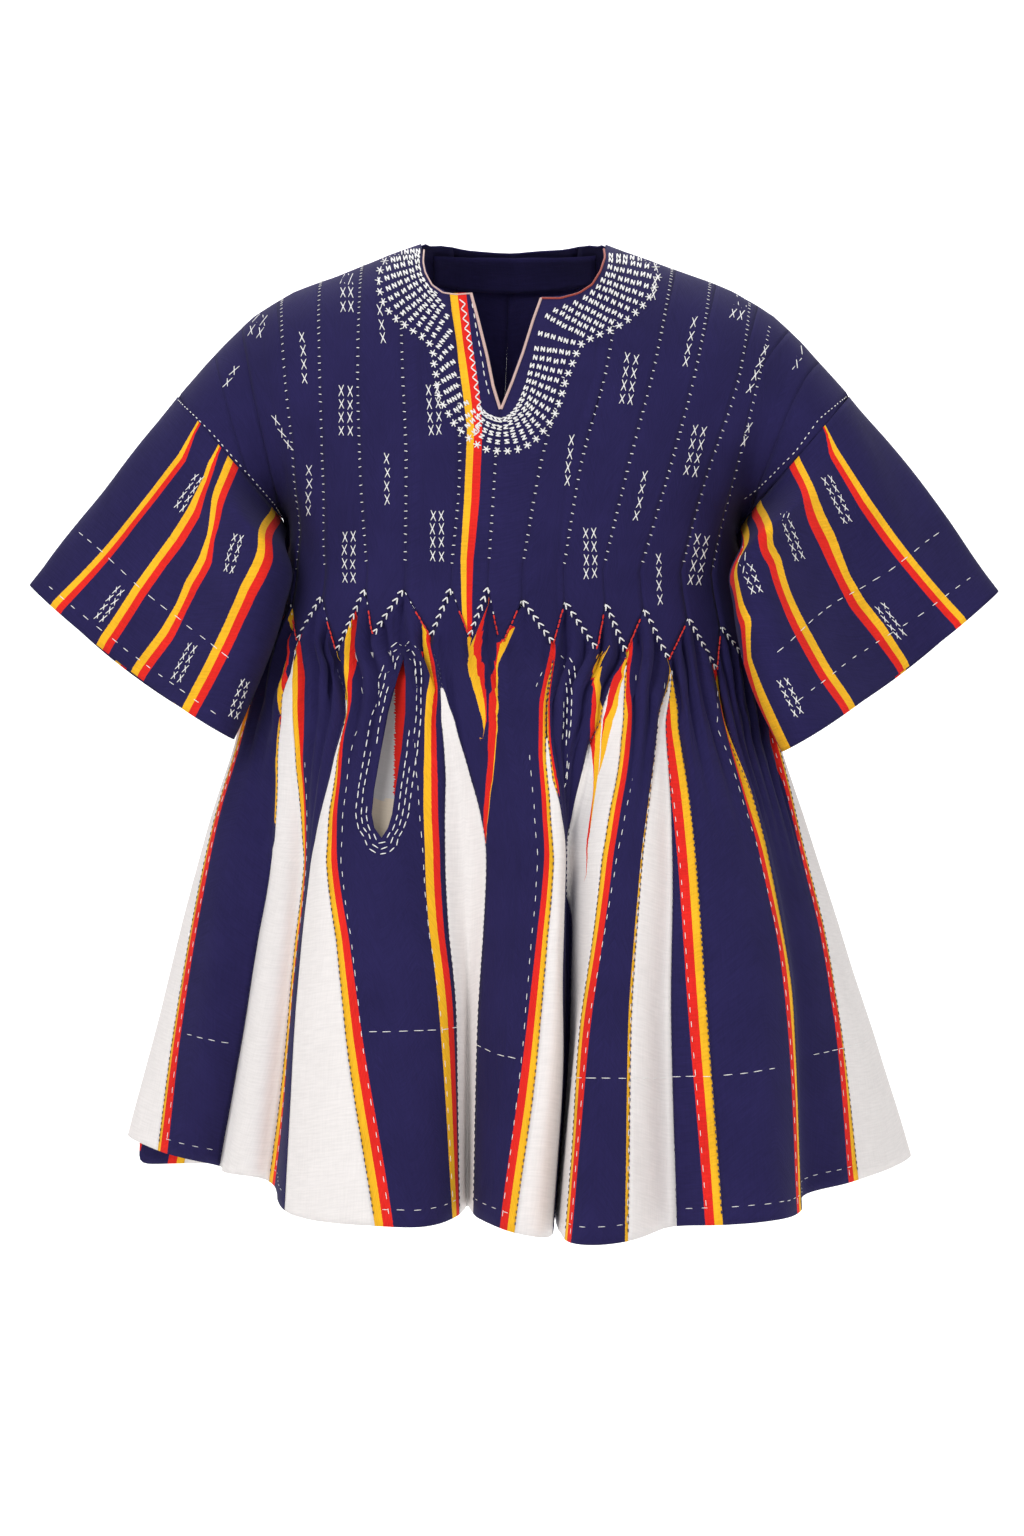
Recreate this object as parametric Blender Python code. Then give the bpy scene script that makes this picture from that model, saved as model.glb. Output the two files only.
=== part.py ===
"""Peplum smock of narrow woven strips, as a rigid worn form with nobody in it.

Metres, +Z up, the front towards -Y. The origin lies between the two neck points, where the
shoulders carry the garment. Bodice strips run over the shoulder and end in points at the waist.
Gores and godets hang from those points and open into folds at the hem.
"""

import math

import bpy
import numpy as np

MM = 0.001
WALL = 0.0018
SEAM_GAP = 0.0003
POINT_GAP = 0.0012
LINING_GAP = 0.0015
FACING_GAP = 0.0016
WAIST_Z = -0.285
ARM_DEPTH = 0.085
SHOULDER_DROP = 0.11
SHOULDER_TIP = np.array([-0.2877, -0.1288])
UNDERARM = np.array([-0.1975, -0.2337])
CUFF_DEPTH = 0.048
UNDERARM_EASE = 0.0012
FOLD_SAMPLES = 10
FOLD_SOFTNESS = 4
HEM_PITCH = 0.026
GODET_START = 0.0022

# The shoulder line seen from the front: distance from the middle, height.
SHOULDER_LINE = np.array([
    (0, 26), (40, 18), (79, 2), (107, -8), (135, -19), (163, -29), (188, -39),
    (207, -50), (222, -60), (245, -81), (263, -101), (288, -129), (330, -176),
]) * MM

# The body under the cloth: height, half width, half depth.
TORSO = np.array([
    (26, 245, 112), (-70, 243, 124), (-130, 226, 134), (-216, 206, 134), (-234, 196.2, 132),
    (-250, 193, 130), (-275, 195, 127), (-300, 198.5, 124), (-350, 210, 124), (-400, 222, 126),
]) * MM

# The two sleeves, both written as if on the left: the top and bottom of the cuff seen from the
# front, how far the underarm line swings in over the side of the body, and how far forward.
SLEEVES = {
    -1: (np.array([-0.4150, -0.2900]), np.array([-0.2335, -0.4234]), 0.020, 0.070),
    1: (np.array([-0.4166, -0.2950]), np.array([-0.2210, -0.4337]), 0.030, 0.110),
}

# Seams between the bodice strips, left to right:
# name, x at the shoulder, x 120 mm down, x 200 mm down, angle round the waist.
STRIP_SEAMS = [
    ("l7", -255, -246, -222, None),
    ("l6", -232, -221, -203, -90),
    ("l5", -202, -189, -182, -69),
    ("l4", -165, -160, -158, -53),
    ("l3", -128, -128, -126, -38),
    ("l2", -95, -91, -88, -27),
    ("l1", -53, -45, -44, -15),
    ("c", -11, -11, -15, -6),
    ("r1", 57, 42, 22, 2),
    ("r2", 94, 76, 55, 12),
    ("r3", 139, 115, 94, 22),
    ("r4", 173, 150, 129, 32),
    ("r5", 209, 187, 162, 45),
    ("r6", 236, 204, 185, 57),
    ("r7", 262, 245, 209, 90),
]

# The pointed waist seam round the front, left to right: angle, height.
WAIST_POINTS = [
    (-90, -310), (-82, -346), (-69, -307), (-60, -341), (-53, -304), (-44, -351), (-38, -299),
    (-34, -338), (-27, -300), (-19, -340), (-15, -299), (-10, -340), (-6, -298), (-3, -349),
    (2, -309), (9, -345), (12, -311), (19, -350), (22, -312), (26, -352), (32, -316),
    (37, -358), (45, -323), (52, -366), (57, -329), (70, -368), (90, -325),
]

# Folds of the front, left to right: name, angle at the waist, x then y at 20, 45, 70 and
# 100 per cent of the way down, height of the hem.
FRONT_FOLDS = [
    ("ab", -75, -226, -258, -290, -326, -20, 38, 48, 62, -768),
    ("a0", -75, -226, -264, -298, -338, -20, 3, 5, 10, -763),
    ("aA", -75, -224, -262, -284, -302, -20, -34, -22, -15, -775),
    ("A0", -68, -212, -228, -250, -273, -43, -67, -64, -35, -780),
    ("AB", -60, -198, -201, -218, -249, -71, -74, -55, -5, -789),
    ("B1", -60, -197, -202, -220, -250, -72, -86, -77, -45, -788),
    ("B2", -60, -192, -187, -198, -218, -81, -109, -113, -100, -784),
    ("BC", -60, -187, -173, -183, -201, -88, -110, -108, -88, -790),
    ("C0", -52, -166, -167, -180, -193, -107, -129, -140, -140, -794),
    ("CD", -44, -148, -164, -177, -187, -120, -146, -171, -190, -800),
    ("D0", -44, -142, -158, -157, -147, -124, -163, -202, -235, -803),
    ("DE", -44, -136, -150, -137, -108, -127, -170, -214, -250, -803),
    ("E0", -31, -99, -102, -87, -69, -139, -180, -222, -258, -804),
    ("EF", -19, -59, -55, -42, -39, -146, -168, -193, -212, -799),
    ("F0", -19, -57, -39, -37, -37, -147, -153, -164, -165, -798),
    ("FG", -19, -55, -22, -31, -35, -147, -169, -193, -212, -799),
    ("G0", -4, -11, 5, -4, -17, -149, -180, -215, -245, -803),
    ("GH", 9, 28, 32, 23, 1, -149, -186, -226, -262, -807),
    ("H0", 9, 30, 37, 31, 17, -149, -186, -229, -266, -809),
    ("HI", 9, 32, 41, 41, 31, -149, -178, -212, -237, -814),
    ("I0", 17, 50, 43, 42, 31, -148, -153, -164, -165, -807),
    ("IJ", 26, 82, 46, 45, 34, -144, -154, -164, -165, -807),
    ("JK", 26, 90, 72, 51, 37, -143, -193, -242, -285, -811),
    ("K0", 31, 107, 88, 70, 62, -137, -195, -248, -295, -811),
    ("KL", 37, 121, 103, 92, 89, -132, -189, -239, -283, -810),
    ("L0", 37, 123, 116, 109, 108, -132, -180, -224, -262, -807),
    ("LM", 37, 125, 127, 123, 125, -131, -168, -204, -232, -805),
    ("MN", 37, 133, 145, 152, 163, -127, -174, -220, -262, -801),
    ("N0", 45, 154, 176, 192, 198, -115, -165, -214, -262, -798),
    ("NO", 52, 173, 210, 228, 232, -101, -133, -171, -205, -798),
    ("O1", 55, 176, 210, 227, 231, -98, -115, -138, -150, -794),
    ("O2", 65, 189, 225, 248, 261, -83, -98, -117, -125, -790),
    ("OP", 75, 210, 241, 268, 284, -46, -76, -94, -100, -788),
    ("P1", 75, 212, 249, 283, 316, -45, -56, -62, -60, -784),
    ("P2", 75, 212, 253, 299, 347, -45, -27, -3, 0, -779),
    ("PQ", 75, 212, 250, 292, 334, -45, 4, 30, 48, -783),
]

# Where the gores of the back begin, going on round from the front: angle at the waist, angle
# at the hem, in degrees from the front.
BACK_SEAMS = [(75, 98), (110, 112), (128, 137), (161, 162), (183, 187), (214, 212), (240, 237)]
BACK_GODET_ANGLE = 11.0
BACK_HALF_WIDTH = np.array([214, 260, 302, 342]) * MM
BACK_HALF_DEPTH = np.array([146, 184, 220, 252]) * MM
BACK_CREST = 0.07
BACK_VALLEY = -0.26
BACK_GROWTH = np.array([0.22, 0.55, 0.8, 1.0])
BACK_HEM_Z = -0.792

# The pocket mouth from top to bottom: middle x, height, half width.
POCKET_SLIT = [
    (-90, -358, 0), (-91.5, -374, 3.5), (-95, -402, 7), (-99, -432, 8.2), (-104, -465, 8.6),
    (-106, -484, 8.2), (-106.5, -495, 5.5), (-106, -503, 0),
]
POCKET_TOP = 0.125
POCKET_BOTTOM = 0.56
POCKET_DEPTH = 0.012
POCKET_WALL = 0.0012
FACING_HEIGHT = 0.025

DOWN = np.array([0.0, 0.2, 0.45, 0.7, 1.0])
SKIRT_ROWS = [0.17, 0.24, 0.33, 0.44, 0.56, 0.7, 0.85, 1.0]
SLIT_TIP = (-0.011, -0.155)
SLIT_ROWS = [0.0, 0.12, 0.3, 0.52, 0.76, 1.0, 1.3, 1.65, 2.0]
BODICE_ROWS = [0.0, 0.008, 0.03, 0.07, 0.15, 0.3, 0.5, 0.74, 1.0]
SLEEVE_ROWS = [0.0, 0.07, 0.18, 0.35, 0.6, 0.82, 1.0]
OUTER_ROWS = [0.0, 0.06, 0.2, 0.4, 0.6, 0.8, 1.0]

NAVY = (0.024, 0.019, 0.080, 1.0)
WHITE = (0.88, 0.84, 0.81, 1.0)
CREAM = (0.80, 0.74, 0.66, 1.0)


def clear_scene():
    """Remove whatever the scene starts with."""
    for item in list(bpy.data.objects):
        bpy.data.objects.remove(item, do_unlink=True)


def quarter_round(share):
    """Height of a quarter circle, 0 at its edge and 1 from its middle on."""
    share = min(max(share, 0.0), 1.0)
    return math.sqrt(1.0 - (1.0 - share) ** 2)


def shoulder_height(x):
    """Height of the shoulder line at this distance from the middle."""
    return float(np.interp(abs(x), SHOULDER_LINE[:, 0], SHOULDER_LINE[:, 1]))


def torso_size(z):
    """Half width and half depth of the body at this height."""
    width = float(np.interp(-z, -TORSO[:, 0], TORSO[:, 1]))
    depth = float(np.interp(-z, -TORSO[:, 0], TORSO[:, 2]))
    return width, depth


def cloth_depth(x, z):
    """How far the cloth stands from the middle plane, body and upper arm joined by a crease."""
    side = abs(x)
    below = shoulder_height(side) - z
    width, depth = torso_size(z)
    share = min(side / width, 1.0)
    body = depth * (1.0 - share ** 2.4) ** (1 / 2.4) * quarter_round(below / SHOULDER_DROP)
    across = UNDERARM - SHOULDER_TIP
    length = float(np.hypot(across[0], across[1]))
    middle = (SHOULDER_TIP + UNDERARM) / 2.0
    offset = (-side - middle[0]) * across[0] + (z - middle[1]) * across[1]
    lower = min(max(2.0 * offset / length ** 2, 0.0), 1.0)
    arm = ARM_DEPTH * quarter_round(below / 0.1) * math.sqrt(1.0 - lower ** 2)
    return (body ** 6 + arm ** 6) ** (1 / 6)


def cloth_normal(x, z, face):
    """Outward direction of the upper cloth, face -1 in front and 1 behind."""
    step = 0.0006
    below = shoulder_height(x) - z
    if below < 1e-6:
        slope = (shoulder_height(abs(x) + step) - shoulder_height(abs(x) - step)) / (2 * step)
        normal = np.array([-slope * np.sign(x), 0.0, 1.0])
        return normal / np.linalg.norm(normal)
    width = torso_size(z)[0]
    if z < UNDERARM[1]:
        x = max(min(x, width - 2 * step), -width + 2 * step)
    lean_x = (cloth_depth(x + step, z) - cloth_depth(x - step, z)) / (2 * step)
    up = min(z + step, shoulder_height(x) - 1e-5)
    lean_z = (cloth_depth(x, up) - cloth_depth(x, z - step)) / (up - z + step)
    normal = np.array([-lean_x, face, -lean_z])
    return normal / np.linalg.norm(normal)


def curve(xs, ys, at):
    """Smooth curve through a few values that never swings past them."""
    xs = np.asarray(xs, float)
    ys = np.asarray(ys, float)
    gaps = np.diff(xs)
    slopes = np.diff(ys) / gaps
    tangents = np.zeros(len(xs))
    same = slopes[:-1] * slopes[1:] > 0
    first = 2 * gaps[1:] + gaps[:-1]
    second = gaps[1:] + 2 * gaps[:-1]
    with np.errstate(divide="ignore", invalid="ignore"):
        mean = (first + second) / (first / slopes[:-1] + second / slopes[1:])
    tangents[1:-1] = np.where(same, mean, 0.0)
    tangents[0] = slopes[0]
    tangents[-1] = slopes[-1]
    at = np.clip(at, xs[0], xs[-1])
    i = np.clip(np.searchsorted(xs, at, side="right") - 1, 0, len(xs) - 2)
    share = (at - xs[i]) / gaps[i]
    square = share * share
    cube = square * share
    start = (2 * cube - 3 * square + 1) * ys[i] + (cube - 2 * square + share) * gaps[i] * tangents[i]
    end = (3 * square - 2 * cube) * ys[i + 1] + (cube - square) * gaps[i] * tangents[i + 1]
    return start + end


def body_ring(angle, z):
    """A point on the body below the underarm, the angle in degrees from the front."""
    width, depth = torso_size(z)
    turn = math.radians(angle)
    share = abs(math.sin(turn))
    y = depth * (1.0 - min(share, 1.0) ** 2.4) ** (1 / 2.4)
    return np.array([width * math.sin(turn), -y if math.cos(turn) > 0 else y, z])


def back_folds():
    """Rows like those of FRONT_FOLDS for the back, a crest in each gore, a valley in each godet."""
    rows = []
    for i, (waist, hem) in enumerate(BACK_SEAMS):
        end = BACK_SEAMS[i + 1] if i + 1 < len(BACK_SEAMS) else (285, 262)
        start = hem if i == 0 else hem + BACK_GODET_ANGLE
        marks = [] if i == 0 else [(waist, hem, -0.05), (waist, hem + BACK_GODET_ANGLE / 2, BACK_VALLEY)]
        marks += [] if i == 0 else [(waist, start, -0.05)]
        crest = BACK_CREST * (0.1 if i in (0, len(BACK_SEAMS) - 1) else 1.0)
        marks.append(((waist + end[0]) / 2, (start + end[1]) / 2, crest))
        rows += [back_fold(i, *mark) for mark in marks]
    return rows


def back_fold(number, waist, hem, rise):
    """One fold line of the back, its rise a share of the distance from the middle."""
    turn = np.radians(waist + (hem - waist) * BACK_GROWTH)
    reach = 1.0 + rise * (1.0 + 0.12 * math.sin(2.3 * number)) * BACK_GROWTH
    x = BACK_HALF_WIDTH * reach * np.sin(turn)
    y = -BACK_HALF_DEPTH * reach * np.cos(turn)
    height = BACK_HEM_Z + 0.006 * math.sin(1.7 * number + 1.0)
    return ["back%d" % number, waist, *(x / MM), *(y / MM), height / MM]


def fold_table():
    """Every fold line in order round the garment, closed on its first line."""
    rows = [list(row) for row in FRONT_FOLDS] + back_folds()
    last = list(FRONT_FOLDS[0])
    last[0] = "end"
    last[1] = 285
    return rows + [last]


def waist_height(angle):
    """Height of the pointed waist seam, the back like the front."""
    angle = (angle + 90.0) % 360.0 - 90.0
    angle = 180.0 - angle if angle > 90.0 else angle
    marks = np.array(WAIST_POINTS, float)
    return float(np.interp(angle, marks[:, 0], marks[:, 1])) * MM


def skirt_grid(rows):
    """Points of the skirt on an even grid: 201 levels down by samples across the folds."""
    count = len(rows)
    angles = np.array([row[1] for row in rows], float)
    hems = np.array([row[10] for row in rows]) * MM
    levels = np.linspace(0.0, 1.0, 201)
    lines = np.zeros((len(levels), count, 3))
    for i, row in enumerate(rows):
        start = body_ring(row[1], WAIST_Z)
        lines[:, i, 0] = curve(DOWN, [start[0]] + [v * MM for v in row[2:6]], levels)
        lines[:, i, 1] = curve(DOWN, [start[1]] + [v * MM for v in row[6:10]], levels)
        lines[:, i, 2] = WAIST_Z + levels * (hems[i] - WAIST_Z)
    knots = np.arange(-2, count + 2)
    picks = np.concatenate([[count - 3, count - 2], np.arange(count), [1, 2]])
    samples = np.linspace(0.0, count - 1.0, (count - 1) * FOLD_SAMPLES + 1)
    grid = np.zeros((len(levels), len(samples), 3))
    tips = [waist_height(angle) for angle in angles]
    leave = [(WAIST_Z - tip) / (WAIST_Z - hem) for tip, hem in zip(tips, hems)]
    leave = np.interp(samples, np.arange(count), leave)
    turns = np.interp(samples, np.arange(count), angles)
    for k in range(len(levels)):
        for axis in range(3):
            grid[k, :, axis] = curve(knots, lines[k, picks, axis], samples)
        free = np.clip((levels[k] - leave) / 0.1, 0.0, 1.0)[:, None]
        free = free * free * (3 - 2 * free)
        ring = np.array([body_ring(a, z) for a, z in zip(turns, grid[k, :, 2])])
        grid[k] = ring * (1 - free) + soften(grid[k]) * free
    return samples, angles, hems, grid


def soften(ring):
    """Round the folds of one closed section."""
    reach = 3 * FOLD_SOFTNESS
    weights = np.exp(-0.5 * (np.arange(-reach, reach + 1) / FOLD_SOFTNESS) ** 2)
    weights /= weights.sum()
    loop = np.concatenate([ring[-reach - 1:-1], ring, ring[1:reach + 1]])
    return np.stack([np.convolve(loop[:, axis], weights, mode="valid") for axis in range(3)], axis=1)


FOLDS = fold_table()
FOLD_NAMES = [row[0] for row in FOLDS]
SAMPLES, FOLD_ANGLES, HEM_HEIGHTS, GRID = skirt_grid(FOLDS)
STEPS = np.linalg.norm(np.diff(GRID, axis=1), axis=2)
ARCS = np.concatenate([np.zeros((len(GRID), 1)), np.cumsum(STEPS, axis=1)], axis=1)


def ring_at(level):
    """The closed section at this share of the way down: its points and their distances."""
    place = min(max(level, 0.0), 1.0) * (len(GRID) - 1)
    low = min(int(place), len(GRID) - 2)
    share = place - low
    points = GRID[low] * (1 - share) + GRID[low + 1] * share
    arcs = ARCS[low] * (1 - share) + ARCS[low + 1] * share
    return points, arcs


def arc_of(level, line):
    """Distance round the section to a fold line, given as a number along the table."""
    return float(np.interp(line, SAMPLES, ring_at(level)[1]))


def skirt_point(level, arc):
    """Point and outward direction at a distance round the section."""
    points, arcs = ring_at(level)
    total = arcs[-1]

    def place(where, pts, lens):
        where = where % lens[-1]
        return np.array([np.interp(where, lens, pts[:, axis]) for axis in range(3)])

    spread = 0.002
    along = place(arc + spread, points, arcs) - place(arc - spread, points, arcs)
    line = float(np.interp(arc % total, arcs + np.arange(len(arcs)) * 1e-12, SAMPLES))
    above = ring_at(level - 0.01)
    under = ring_at(level + 0.01)
    top = place(float(np.interp(line, SAMPLES, above[1])), *above)
    low = place(float(np.interp(line, SAMPLES, under[1])), *under)
    normal = np.cross(along, top - low)
    normal /= np.linalg.norm(normal)
    return place(arc, points, arcs), normal


def waist_marks(start, end):
    """Angles of the waist seam's corners between two angles."""
    front = [mark[0] for mark in WAIST_POINTS]
    every = sorted(set(front + [180 - angle for angle in front] + [360 + angle for angle in front]))
    return [angle for angle in every if start + 0.5 < angle < end - 0.5]


def level_of(height, line):
    """Share of the way down at which a fold line has this height."""
    hem = float(np.interp(line, np.arange(len(HEM_HEIGHTS)), HEM_HEIGHTS))
    return (WAIST_Z - height) / (WAIST_Z - hem)


def line_of_angle(angle, first=0, last=None):
    """Number of the fold line at an angle round the waist, between two fold lines."""
    last = len(FOLD_ANGLES) - 1 if last is None else last
    angle += 360.0 if angle < FOLD_ANGLES[0] else 0.0
    angles = FOLD_ANGLES[first:last + 1] + np.arange(last - first + 1) * 1e-6
    return first + float(np.interp(angle, angles, np.arange(last - first + 1)))


def material(name, colour):
    """A plain cloth material."""
    made = bpy.data.materials.new(name)
    made.use_nodes = True
    shader = made.node_tree.nodes["Principled BSDF"]
    shader.inputs["Base Color"].default_value = colour
    shader.inputs["Roughness"].default_value = 0.9
    made.diffuse_color = colour
    return made


def build_sheet(name, outer, inner, colour, closed=False):
    """Loft a cloth wall between unlike sections: rows of outer and of inner points."""
    outer = np.asarray(outer)
    inner = np.asarray(inner)
    rows, cols = outer.shape[:2]
    points = np.concatenate([outer.reshape(-1, 3), inner.reshape(-1, 3)])
    half = rows * cols
    faces = []
    for r in range(rows - 1):
        for c in range(cols if closed else cols - 1):
            a = r * cols + c
            b = r * cols + (c + 1) % cols
            faces.append((a, b, b + cols, a + cols))
            faces.append((half + a, half + a + cols, half + b + cols, half + b))
    for c in range(cols if closed else cols - 1):
        n = (c + 1) % cols
        low = (rows - 1) * cols
        faces.append((c, half + c, half + n, n))
        faces.append((low + c, low + n, half + low + n, half + low + c))
    if not closed:
        for r in range(rows - 1):
            a = r * cols
            b = a + cols - 1
            faces.append((a, a + cols, half + a + cols, half + a))
            faces.append((b, half + b, half + b + cols, b + cols))
    mesh = bpy.data.meshes.new(name)
    mesh.from_pydata([tuple(p) for p in points], [], faces)
    mesh.validate()
    item = bpy.data.objects.new(name, mesh)
    item.data.materials.append(material(name + "_cloth", colour))
    GARMENT.objects.link(item)
    turn_outward(item)
    return item


def turn_outward(item):
    """Flip the faces if they enclose a negative volume."""
    mesh = item.data
    volume = 0.0
    mesh.calc_loop_triangles()
    for tri in mesh.loop_triangles:
        a, b, c = (mesh.vertices[i].co for i in tri.vertices)
        volume += a.dot(b.cross(c))
    if volume < 0:
        mesh.flip_normals()


def seam_x(seam, z, top_z):
    """Where a strip seam lies at this height, front or back alike."""
    width = torso_size(WAIST_Z)[0]
    if seam[4] is not None and abs(seam[4]) == 90:
        if z <= UNDERARM[1]:
            return math.copysign(torso_size(z)[0], seam[4])
        heights = [UNDERARM[1], -0.2, -0.12, top_z]
        values = [math.copysign(-UNDERARM[0], seam[4]), seam[3] * MM, seam[2] * MM, seam[1] * MM]
    else:
        heights = [WAIST_Z, -0.2, -0.12, top_z]
        values = [width * math.sin(math.radians(seam[4])), seam[3] * MM, seam[2] * MM, seam[1] * MM]
    return float(curve(heights, values, z))


def between(left, right, share):
    """A seam row part of the way from one seam to the next."""
    angles = [angle for angle in waist_marks(left[4], right[4])]
    middle = angles[len(angles) // 2]
    if share <= 0.5:
        angle = left[4] + (middle - left[4]) * share * 2
    else:
        angle = middle + (right[4] - middle) * (share * 2 - 1)
    mixed = [left[i] + (right[i] - left[i]) * share for i in (1, 2, 3)]
    return ("mid", mixed[0], mixed[1], mixed[2], angle)


def upper_point(x, z, face):
    """Cloth point above the waist and its outward direction."""
    depth = max(cloth_depth(x, z), SEAM_GAP / 2)
    if shoulder_height(x) - z < 1e-6:
        depth = 0.0
    return np.array([x, face * depth, z]), cloth_normal(x, z, face)


def strip_column(seam, top_z, face, shift, rows):
    """Points down one line of a strip, from the shoulder or neck edge to the waist seam."""
    column = []
    for share in rows:
        z = top_z + (WAIST_Z - top_z) * share
        at_side = abs(seam[4]) == 90 and z <= UNDERARM[1]
        x = seam_x(seam, z, top_z if top_z > -0.1 else 0.0)
        x += 0.0 if at_side else shift
        column.append(upper_point(x, z, face))
    angle = seam[4] if face < 0 else 180 - seam[4]
    line = line_of_angle(angle)
    tip = level_of(waist_height(angle) + POINT_GAP / 2, line)
    turn = 1.0 if face < 0 else -1.0
    for share in (0.5, 1.0):
        level = tip * share
        edge = 0.0 if shift == 0 else math.copysign(SEAM_GAP / 2, shift)
        if abs(seam[4]) == 90:
            edge = math.copysign(SEAM_GAP / 2, -seam[4])
        arc = arc_of(level, line) + edge * turn
        column.append(skirt_point(level, arc))
    return column


def split_grid(columns, wall=WALL):
    """Outer and inner point rows from columns of points with directions."""
    rows = range(len(columns[0]))
    outer = [[column[r][0] for column in columns] for r in rows]
    inner = [[column[r][0] - column[r][1] * wall for column in columns] for r in rows]
    return outer, inner


def shoulder_strip(name, left, right, colour):
    """A strip that runs from the front waist over the shoulder to the back waist."""
    columns = []
    parts = 4
    for k in range(parts + 1):
        share = k / parts
        seam = left if k == 0 else right if k == parts else between(left, right, share)
        shift = SEAM_GAP / 2 if k == 0 else -SEAM_GAP / 2 if k == parts else 0.0
        top = shoulder_height(seam[1] * MM + shift)
        front = strip_column(seam, top, -1, shift, BODICE_ROWS)
        back = strip_column(seam, top, 1, shift, BODICE_ROWS)
        front[0] = upper_point(seam[1] * MM + shift, top, -1)
        columns.append(front[::-1] + back[1:])
    return build_sheet(name, *split_grid(columns), colour)


def neck_strip(name, face, left, right, tops, colour):
    """A strip that ends at the neck edge, its top given as share across, x and height."""
    columns = []
    for share, top_x, top_z in tops:
        seam = left if share == 0 else right if share == 1 else between(left, right, share)
        seam = (seam[0], top_x) + tuple(seam[2:])
        shift = SEAM_GAP / 2 if share == 0 else -SEAM_GAP / 2 if share == 1 else 0.0
        top = shoulder_height(top_x * MM + shift) if top_z is None else top_z * MM
        by_slit = share if right[0] == "slit" else 1 - share if left[0] == "slit" else 0
        columns.append(neck_column(seam, top, face, shift, by_slit))
    return build_sheet(name, *split_grid(columns), colour)


def neck_column(seam, top_z, face, shift, by_slit):
    """Points down a line that starts at the neck edge, or at the slit's edge."""
    lower = strip_column(seam, 0.0, face, shift, [1.0])[1:]
    slit = seam[0] == "slit"
    width = torso_size(WAIST_Z)[0]
    heights = [WAIST_Z, -0.2, SLIT_TIP[1] if slit else -0.12, top_z]
    middle = SLIT_TIP[0] if slit else seam[2] * MM
    values = [width * math.sin(math.radians(seam[4])), seam[3] * MM, middle, seam[1] * MM]
    upper = []
    for plain, split in zip(BODICE_ROWS, SLIT_ROWS):
        z = top_z + (SLIT_TIP[1] - top_z) * min(split, 1.0)
        z += (WAIST_Z - SLIT_TIP[1]) * max(split - 1.0, 0.0)
        z = z * by_slit + (top_z + (WAIST_Z - top_z) * plain) * (1 - by_slit)
        x = float(curve(heights[:3], values[:3], z))
        if z > heights[2] and not slit:
            x = float(curve(heights, values, z))
        if z > heights[2] and slit:
            x = float(np.interp(z, heights[2:], values[2:]))
        x += shift
        z = min(z, shoulder_height(x))
        upper.append(upper_point(x, z, face))
    return upper + lower


def armhole_strip(name, side, outer_end, inner_end, inner_seam, colour):
    """A strip that ends at the armhole seam: each end gives x at the shoulder and share down."""
    along = UNDERARM - SHOULDER_TIP
    inward = np.array([-along[1], along[0]]) / np.hypot(*along)
    edges = []
    for top_x, share in (outer_end, inner_end):
        foot = SHOULDER_TIP + along * share + inward * SEAM_GAP / 2
        top = shoulder_height(top_x)
        heights = [top + (foot[1] - top) * step for step in OUTER_ROWS]
        xs = [top_x + (foot[0] - top_x) * step for step in OUTER_ROWS]
        if inner_seam and top_x == inner_end[0]:
            xs = [-abs(seam_x(inner_seam, z, top)) for z in heights]
        edges.append(np.array([xs, heights]).T)
    edges[0][:, 0] += SEAM_GAP
    edges[1][:, 0] -= SEAM_GAP * 1.5
    ring = [(1 - math.cos(math.pi * i / 12)) / 2 for i in range(13)]
    stops = [w for w in ring if outer_end[1] - 0.001 < w < inner_end[1] + 0.001]
    columns = []
    for stop in stops:
        share = (stop - stops[0]) / (stops[-1] - stops[0])
        line = edges[0] * (1 - share) + edges[1] * share
        line[0, 1] = shoulder_height(line[0, 0])
        foot = SHOULDER_TIP + along * stop + inward * SEAM_GAP / 2
        line[-1] = foot
        front = [upper_point(-side * x, z, -1) for x, z in line]
        back = [upper_point(-side * x, z, 1) for x, z in line]
        columns.append(front[::-1] + back[1:])
    return build_sheet(name, *split_grid(columns), colour)


def sleeve(name, side, colour):
    """A wide short sleeve lofted from the armhole seam to the cuff."""
    count = 24
    turns = [2 * math.pi * i / count for i in range(count)]
    mirror = np.array([-float(side), 1.0, 1.0])
    outer = []
    inner = []
    for share in SLEEVE_ROWS:
        ring = [sleeve_point(turn, share, side) for turn in turns]
        middle = sum(ring) / count
        normals = [sleeve_normal(turn, share, middle, side) for turn in turns]
        outer.append([point * mirror for point in ring])
        inner.append([(point - normal * WALL) * mirror for point, normal in zip(ring, normals)])
    return build_sheet(name, outer, inner, colour, closed=True)


def sleeve_normal(turn, share, middle, side):
    """Outward direction of the left sleeve, at its seam the same as the bodice's."""
    if share == 0.0 and abs(math.sin(turn)) > 0.01:
        seam = SHOULDER_TIP + (UNDERARM - SHOULDER_TIP) * (1 - math.cos(turn)) / 2
        return cloth_normal(seam[0], seam[1], -1 if math.sin(turn) > 0 else 1)
    ahead = sleeve_point(turn + 0.03, share, side) - sleeve_point(turn - 0.03, share, side)
    low = sleeve_point(turn, max(share - 0.02, 0.0), side)
    down = sleeve_point(turn, min(share + 0.02, 1.0), side) - low
    normal = np.cross(ahead, down)
    normal /= np.linalg.norm(normal)
    return normal if np.dot(normal, low - middle) > 0 else -normal


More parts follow.
